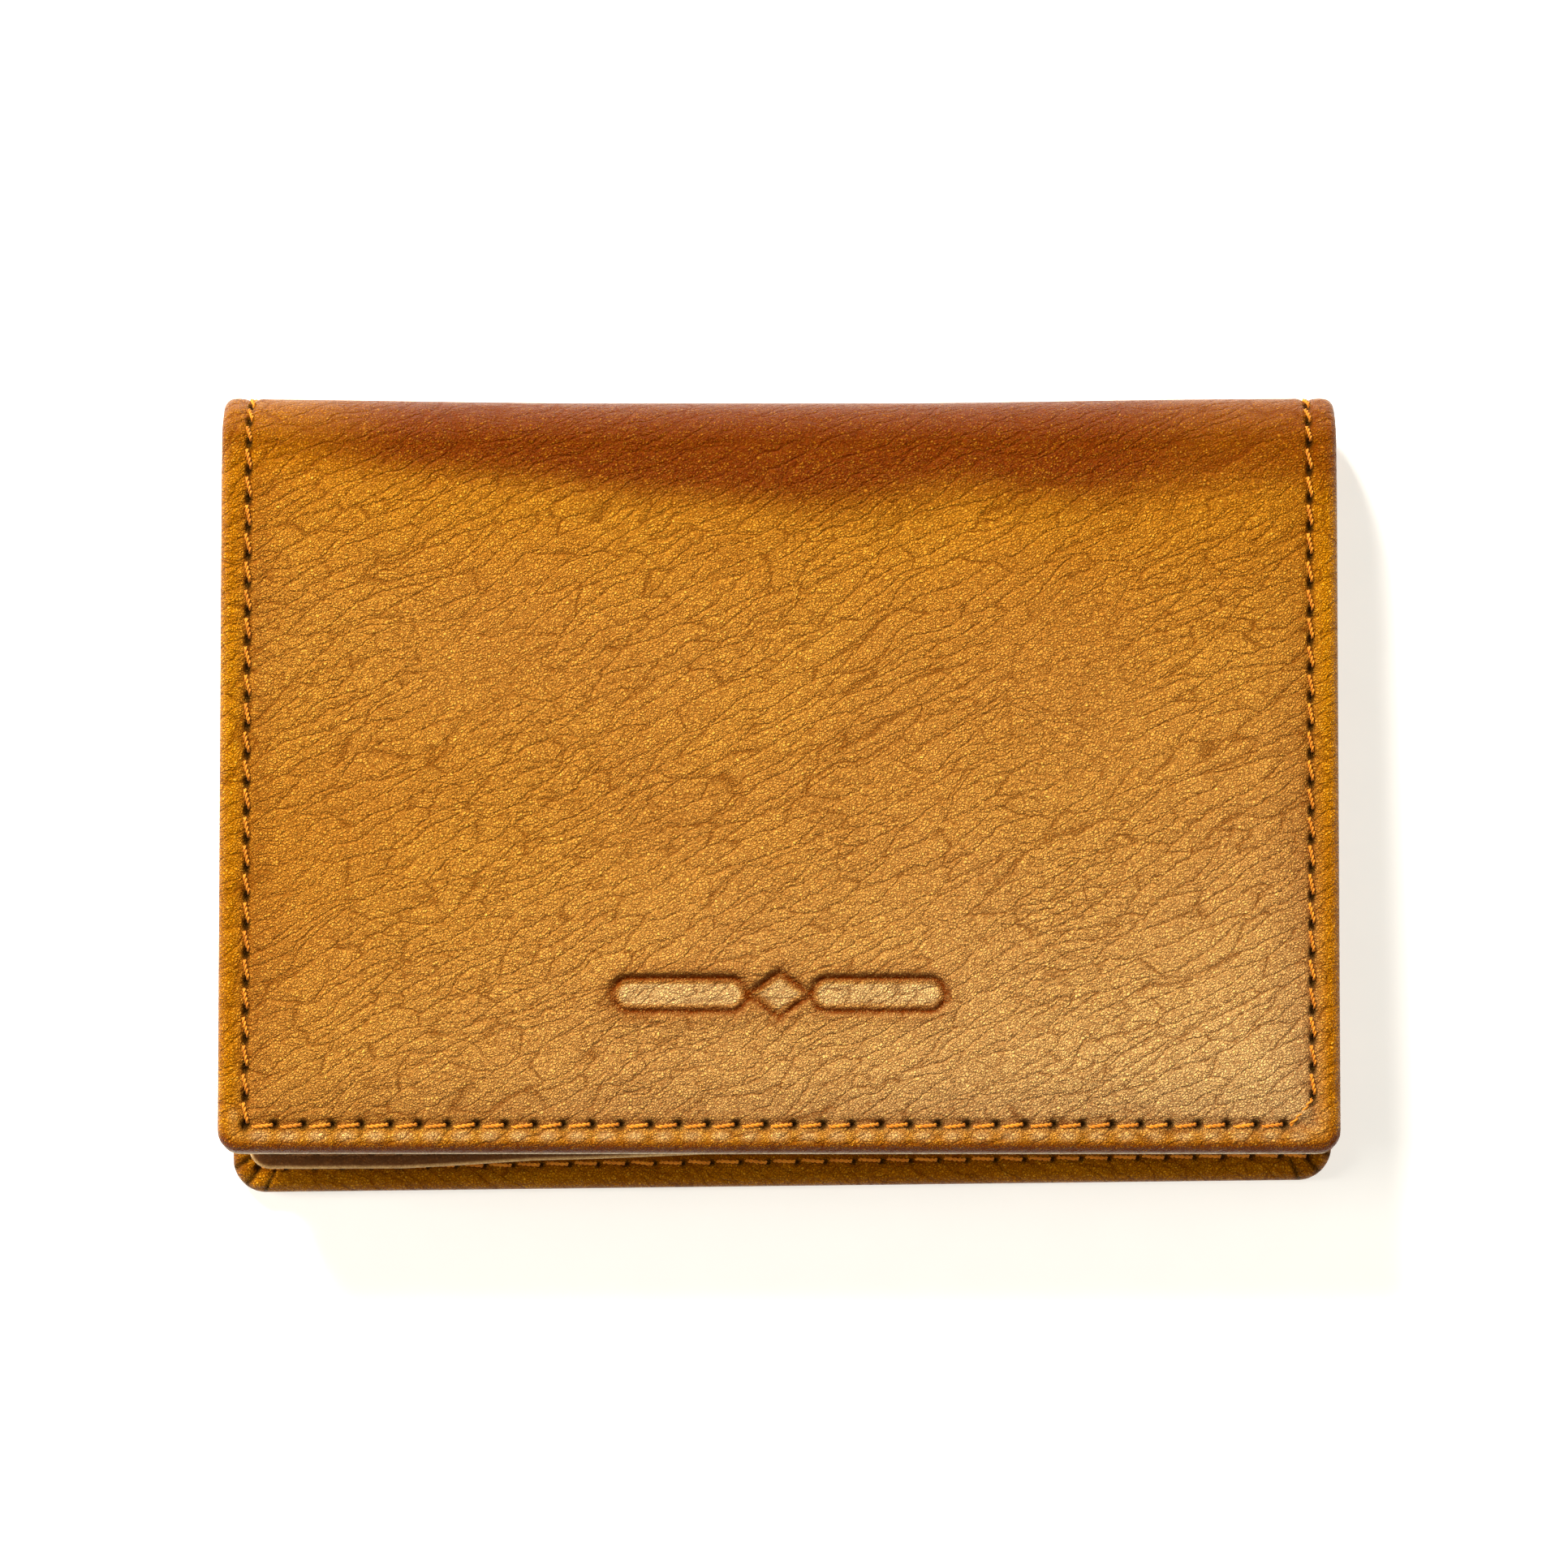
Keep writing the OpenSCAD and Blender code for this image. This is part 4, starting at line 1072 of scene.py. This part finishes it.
def slot_thread(leaf, levels):
    """Fine thread of the mouths, sides and bottom of both slots of a leaf."""
    t_of = (lambda d: -d) if leaf == "rear_leaf" else (lambda d: fold_long + d)
    runs = []

    def straight(u0, d0, u1, d1, level, skip_notch=False):
        n = max(1, int(round(math.hypot(u1 - u0, d1 - d0) / slot_stitch)))
        k = np.linspace(0, 1, n + 1)
        p = np.stack([u0 + (u1 - u0) * k, d0 + (d1 - d0) * k], -1)
        a, b = p[:-1], p[1:]
        if skip_notch:
            clear = np.abs((a[:, 0] + b[:, 0]) / 2) > notch_clear + 1.4
            a, b = a[clear], b[clear]
        reach = b - a
        a, b = a + reach * 0.10, b - reach * 0.06
        start = np.stack([a[:, 0], t_of(a[:, 1])], -1)
        end = np.stack([b[:, 0], t_of(b[:, 1])], -1)
        runs.append(sew(start, end, lambda u, t: level + 0 * u, 1, ply=0.075, apart=0.06, turns=2.2,
                        dive=0.16, proud=0.09, points=16, sides=6))

    side_u, mouth_u = panel_half - slot_seam_in, panel_half - 3.1
    far = levels["far"]
    for mouth, level in ((mouth_a, levels["a"]), (mouth_b, levels["b"])):
        straight(-mouth_u, mouth + mouth_seam_in, mouth_u, mouth + mouth_seam_in, level, True)
    for s in (-1, 1):
        straight(s * side_u, mouth_a + 1.0, s * side_u, mouth_b - 1.0, levels["a_side"])
        straight(s * side_u, mouth_b + 1.0, s * side_u, far - slot_seam_in, levels["b_side"])
    straight(-side_u, far - slot_seam_in, side_u, far - slot_seam_in, levels["b_side"])
    piece = thread_piece(leaf + "_slot_thread", runs)
    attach(piece, leaf)
    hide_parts("rear_slot_stitching" if leaf == "rear_leaf" else "front_slot_stitching")


notch_clear = math.sqrt(thumb_r ** 2 - (thumb_r - thumb_deep + mouth_seam_in) ** 2) + 1.6
for leaf, prefix, long, bed, base in (("rear_leaf", "rear", rear_long, 1.92, 1.65),
                                      ("front_leaf", "front", front_long, 2.47, 2.45)):
    high_a = base + card_gap
    high_b = base + 2 * card_gap + slot_thick
    side_a = bed
    side_b = bed + slot_thick + cloth_thick + 0.05
    far = long - 3.2
    slot_panel(prefix + "_slot_strip", leaf, mouth_a, mouth_b + 2, high_a, side_a, False,
               prefix + "_slot_panel_a")
    slot_panel(prefix + "_slot_panel", leaf, mouth_b, far, high_b, side_b, True, prefix + "_slot_panel_b")

    d0, d1 = mouth_b + 2.05, bottom_wall + 0.5
    columns = lines(-panel_half + 0.1, panel_half - 0.1, np.arange(-panel_half, panel_half, 0.8), least=0.1)
    u, d = np.meshgrid(columns, lines(d0, d1, np.arange(d0, d1, 0.8), d1 - edge_steps, least=0.05))
    sewn = np.minimum(panel_half - np.abs(u), d1 - d)
    fold_down = ease((panel_half - np.abs(u) - 1.9) / 3.2)
    close = ease((d1 - d) / 1.6)
    under = side_a + 0.02 + (high_a - side_a) * fold_down
    under = np.where(fold_down > 0.2, base + 0.03 + (under - base - 0.03) * close, under)
    gap = np.minimum.reduce([panel_half - 0.1 - np.abs(u), d - d0, d1 - d])
    if leaf == "rear_leaf":
        u, d, under, gap = (a[::-1] for a in (u, d, under, gap))
    t = -d if leaf == "rear_leaf" else fold_long + d
    cloth = cut_sheet(prefix + "_slot_cloth", u, t, np.maximum(gap, 0), under, cloth_thick, cloth_finish,
                      relief=0.02 * drift(u, t, 12, 8))
    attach(cloth, leaf)
    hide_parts(prefix + "_slot_backing")
    slot_thread(leaf, {"a": high_a + slot_thick - 0.10, "b": high_b + slot_thick - 0.10,
                       "a_side": side_a + slot_thick - 0.10, "b_side": side_b + slot_thick - 0.10,
                       "far": far})


# ---- Centre flap ----
# A loose leaf between the two covers: brown leather behind, leather with a
# window in front and a clear film between them, sewn round the window and
# the edge. It swings on an angle of thin leather glued to the rear lining.

hinge = joint_at["flap_hinge"]
flap_tilt = math.radians(1.5)
flap_half = 50.2
flap_long = 64.9
flap_thick, film_thick = 0.38, 0.14
flap_face = 0.45
frame_wide = 8.5
flap_corner = 2.0
flap_seam_in, flap_stitch = 1.3, 2.6


def on_flap(u, t, w):
    """The flap's own flat places to space: t is minus the way from its hinge, w up from its middle."""
    u, t, w = np.broadcast_arrays(np.asarray(u, float), np.asarray(t, float), np.asarray(w, float))
    away = np.clip(-t / flap_long, 0, 1.05)
    askew = np.interp(u, [-50, -47, -35, -28, -24, -16, -6, 5, 50],
                      [1.15, 1.2, 1.15, 0.72, 0.42, 0.20, -0.25, -0.5, -0.6])
    run = t - askew * away ** 2
    sag = -0.35 * away ** 2 * np.interp(u, [-50, -30, 0, 50], [1.0, 0.8, 0.2, 0.0])
    y = hinge[1] + run * math.cos(flap_tilt) + w * math.sin(flap_tilt)
    z = hinge[2] - run * math.sin(flap_tilt) + w * math.cos(flap_tilt) + sag
    return np.stack([u, y, z], -1)


def flap_edge_gap(u, t):
    """Distance in from the flap's outline with its two rounded corners."""
    side, end = flap_half - np.abs(u), t + flap_long
    gap = np.minimum.reduce([side, end, -t])
    r = flap_corner
    near = (side < r) & (end < r)
    return np.maximum(np.where(near, r - np.hypot(np.maximum(r - side, 0), np.maximum(r - end, 0)), gap), 0)


u, t = flat_grid(flap_half, -flap_long, 0.0, flap_corner, 0.0, 0.8,
                 extra_t=-flap_long + np.arange(0.8, 2, 0.12))
gap = flap_edge_gap(u, t)
flap_back = cut_sheet("flap_back_leather", u, t, gap, -flap_face, flap_thick, brown, where=on_flap,
                      masks=plain_masks(gap))
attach(flap_back, "centre_flap")
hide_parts("flap_back_panel")

# The front leather is one ring: its inner line is the window, its outer line the flap's edge.
window_half, window_low, window_high, window_r = flap_half - frame_wide, -flap_long + frame_wide, -9.0, 2.5
turns = []
for corner_u, corner_t, first in ((1, 1, 0.0), (-1, 1, 0.5), (-1, -1, 1.0), (1, -1, 1.5)):
    turns.append((corner_u, corner_t, first * math.pi))


def ring_line(half, low, high, r_low, r_high, count=30, arc=9):
    """Places round a rounded rectangle, the same number on each side for any size."""
    path = []
    for corner_u, corner_t, first in turns:
        r = max(r_high if corner_t > 0 else r_low, 1e-3)
        centre = np.array([corner_u * (half - r), (high - r) if corner_t > 0 else (low + r)])
        a = first + np.linspace(0, math.pi / 2, arc)
        path.append(centre + r * np.stack([np.cos(a), np.sin(a)], -1))
    whole = []
    for k, corner in enumerate(path):
        whole.append(corner)
        after = path[(k + 1) % 4][0]
        s = np.linspace(0, 1, count + 2)[1:-1, None]
        whole.append(corner[-1] + (after - corner[-1]) * s)
    return np.concatenate(whole)


outer_line = ring_line(flap_half, -flap_long, 0.0, flap_corner, 0.02)
inner_line = ring_line(window_half, window_low, window_high, window_r, window_r)
across_steps = np.concatenate([edge_steps[:9] / 9, np.linspace(0.14, 0.86, 22), 1 - edge_steps[8::-1] / 9])
across = np.concatenate([[0.0], np.unique(across_steps), [1.0]])
ring = outer_line[None] + (inner_line - outer_line)[None] * across[:, None, None]
ring_u, ring_t = ring[..., 0], ring[..., 1]
wide_at = np.linalg.norm(inner_line - outer_line, axis=1)
from_edge = flap_edge_gap(ring_u, ring_t)
from_window = (1 - across[:, None]) * wide_at[None] * 0.85
from_edge[0], from_window[-1] = 0, 0
gap = np.minimum(from_edge, from_window)
over = np.sqrt(1 - np.clip(1 - gap / (flap_thick / 2), 0, 1) ** 2)
middle = flap_face - flap_thick / 2
row = np.minimum(np.abs(from_edge - flap_seam_in), np.abs(from_window - flap_seam_in))
relief = -0.10 * np.exp(-((row / 0.3) ** 2)) + 0.06 * ease((gap - 1.6) / 1.5)
low_face, high_face = middle - flap_thick / 2 * over, middle + (flap_thick / 2) * over + relief * over
rows, cols = ring_u.shape
index = np.arange(rows * cols).reshape(rows, cols)
top_index = np.where(high_face - low_face < 1e-5, index, index + rows * cols)
wrap = lambda grid: np.concatenate([grid, grid[:, :1]], 1)
quads = np.concatenate([grid_quads(rows, cols + 1, wrap(index)),
                        grid_quads(rows, cols + 1, wrap(top_index), flip=True)])
flat = np.stack([np.tile(ring_u.ravel(), 2), np.tile(ring_t.ravel(), 2),
                 np.concatenate([low_face.ravel(), high_face.ravel()])], -1)
tall = on_flap(flat[:, 0], flat[:, 1], flat[:, 2])
zero = np.zeros(len(flat))
# Painted shade: the flap's front leather is darkened nearly all over, more along its stitch rows, for its
# place in the shade under the front leaf; its raw edge is paler.
dark_and_shade = np.tile((0.85 + 0.10 * np.exp(-((row / 0.4) ** 2))).ravel(), 2)
raw = np.tile(np.exp(-((from_edge / 0.30) ** 4)).ravel(), 2)
flap_front = build("flap_front_leather", [(tall, quads)], brown, flat,
                   {"needle": zero, "burnish": dark_and_shade * (1 - raw), "rubbed": 0.95 * raw})
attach(flap_front, "centre_flap")
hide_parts("flap_front_panel")

film_finish, tree, shader = new_finish("clear_film")
at = add(tree, "Attribute", attribute_name="flat_place")["Vector"]
haze = add(tree, "TexNoise", {"Vector": at, "Scale": 0.25, "Detail": 4.0})["Fac"]
scuff = add(tree, "TexNoise", {"Vector": at, "Scale": 3.0, "Detail": 6.0, "Roughness": 0.75})["Fac"]
tree.links.new(mixed(tree, haze, dye(226, 232, 232), dye(240, 244, 243)), shader["Base Color"])
tree.links.new(ramp(tree, scuff, 0.45, 0.7, 0.06, 0.22), shader["Roughness"])
tree.links.new(ramp(tree, scuff, 0.3, 0.8, 0.16, 0.30), shader["Alpha"])
tree.links.new(add(tree, "Bump", {"Height": haze, "Distance": 0.0003})[0], shader["Normal"])
film_half, film_low, film_high = window_half + 2.0, window_low - 2.0, window_high + 2.0
u, t = flat_grid(film_half, film_low, film_high, 1.0, 1.0, 1.5)
gap = outline_gap(u, t, film_half, film_low, film_high, 1.0)
film = cut_sheet("flap_window_film", u, t, gap, -0.065, film_thick - 0.02, film_finish, where=on_flap,
                 relief=0.02 * drift(u, t, 22, 21))
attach(film, "centre_flap")
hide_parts("flap_window")


def along_path(path, step):
    """Evenly spaced holes along a closed line of places."""
    closed = np.concatenate([path, path[:1]])
    run = np.concatenate([[0], np.cumsum(np.linalg.norm(np.diff(closed, axis=0), axis=1))])
    n = int(run[-1] / step)
    s = np.linspace(0, run[-1], n + 1)
    return np.stack([np.interp(s, run, closed[:, 0]), np.interp(s, run, closed[:, 1])], -1)


edge_seam = ring_line(flap_half - flap_seam_in, -flap_long + flap_seam_in, -flap_seam_in, 0.8, 0.3)
window_seam = ring_line(window_half + flap_seam_in, window_low - flap_seam_in, window_high + flap_seam_in,
                        3.4, 3.4)
runs = []
for seam in (edge_seam, window_seam):
    holes = along_path(seam, flap_stitch)
    reach = holes[1:] - holes[:-1]
    start, end = holes[:-1] + reach * 0.10, holes[1:] - reach * 0.06
    runs.append(sew(start, end, lambda u, t: 0.36 + 0 * u, 1, ply=0.085, apart=0.07, turns=2.2,
                    dive=0.14, proud=0.08, points=16, sides=6))
    runs.append(sew(start, end, lambda u, t: -flap_face + 0 * u, -1, ply=0.085, apart=0.07, turns=2.2,
                    dive=0.10, proud=0.04, points=16, sides=6))
# The flap's thread is a darker copy of the waxed thread, painted shade for its place under the front leaf.
brown_thread = thread_of("brown_thread", dye(84, 46, 14), dye(140, 88, 40), dye(66, 34, 10))
flap_thread = thread_piece("flap_thread", runs, where=on_flap, finish=brown_thread)
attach(flap_thread, "centre_flap")
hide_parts("flap_stitching")

# Hinge angle: a foot glued to the rear lining and a lip that carries the flap.
hinge_half = (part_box("flap_hinge_strip")[1].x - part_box("flap_hinge_strip")[0].x) * 500
lip_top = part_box("flap_hinge_strip")[1].z * 1000
angle_outline = np.array([
    [-3.4, 1.66], [-3.36, 1.95], [-3.2, 2.08], [-2.9, 2.10], [-2.68, 2.16], [-2.58, 2.40],
    [-2.58, lip_top - 0.3], [-2.5, lip_top - 0.06], [-2.3, lip_top], [-2.1, lip_top - 0.06],
    [-2.02, lip_top - 0.3], [-2.02, 2.40], [-1.92, 2.16], [-1.7, 2.10], [-0.7, 2.09],
    [-0.45, 1.98], [-0.4, 1.66], [-1.9, 1.66]])
stations = lines(-hinge_half, hinge_half, edge_steps[:8] - hinge_half, hinge_half - edge_steps[:8],
                 np.arange(-hinge_half, hinge_half, 1.2), least=0.02)
ends = np.sqrt(1 - np.clip(1 - (hinge_half - np.abs(stations)) / 0.3, 0, 1) ** 2)
ends = np.maximum(ends, 0.02)
centre = np.array([-2.2, 1.9])
u = np.repeat(stations[:, None], len(angle_outline), 1)
wobble = 0.04 * np.sin(stations / 7.0)[:, None]
t = centre[0] + (angle_outline[None, :, 0] - centre[0]) * (0.9 + 0.1 * ends[:, None])
w = centre[1] + (angle_outline[None, :, 1] - centre[1]) * (0.9 + 0.1 * ends[:, None])
t = t + wobble * (w - 1.66) / 2.5
ring_ids = np.arange(u.size).reshape(u.shape)
wrapped = np.concatenate([ring_ids, ring_ids[:, :1]], 1)
quads = grid_quads(*wrapped.shape, wrapped, flip=True)
flat = np.stack([u, t, w], -1).reshape(-1, 3)
zero = np.zeros(len(flat))
angle = build("flap_hinge_leather", [(place(flat[:, 0], flat[:, 1], flat[:, 2]), quads)], brown, flat,
              {"needle": zero, "burnish": zero, "rubbed": zero})
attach(angle, "rear_leaf")
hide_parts("flap_hinge_strip")
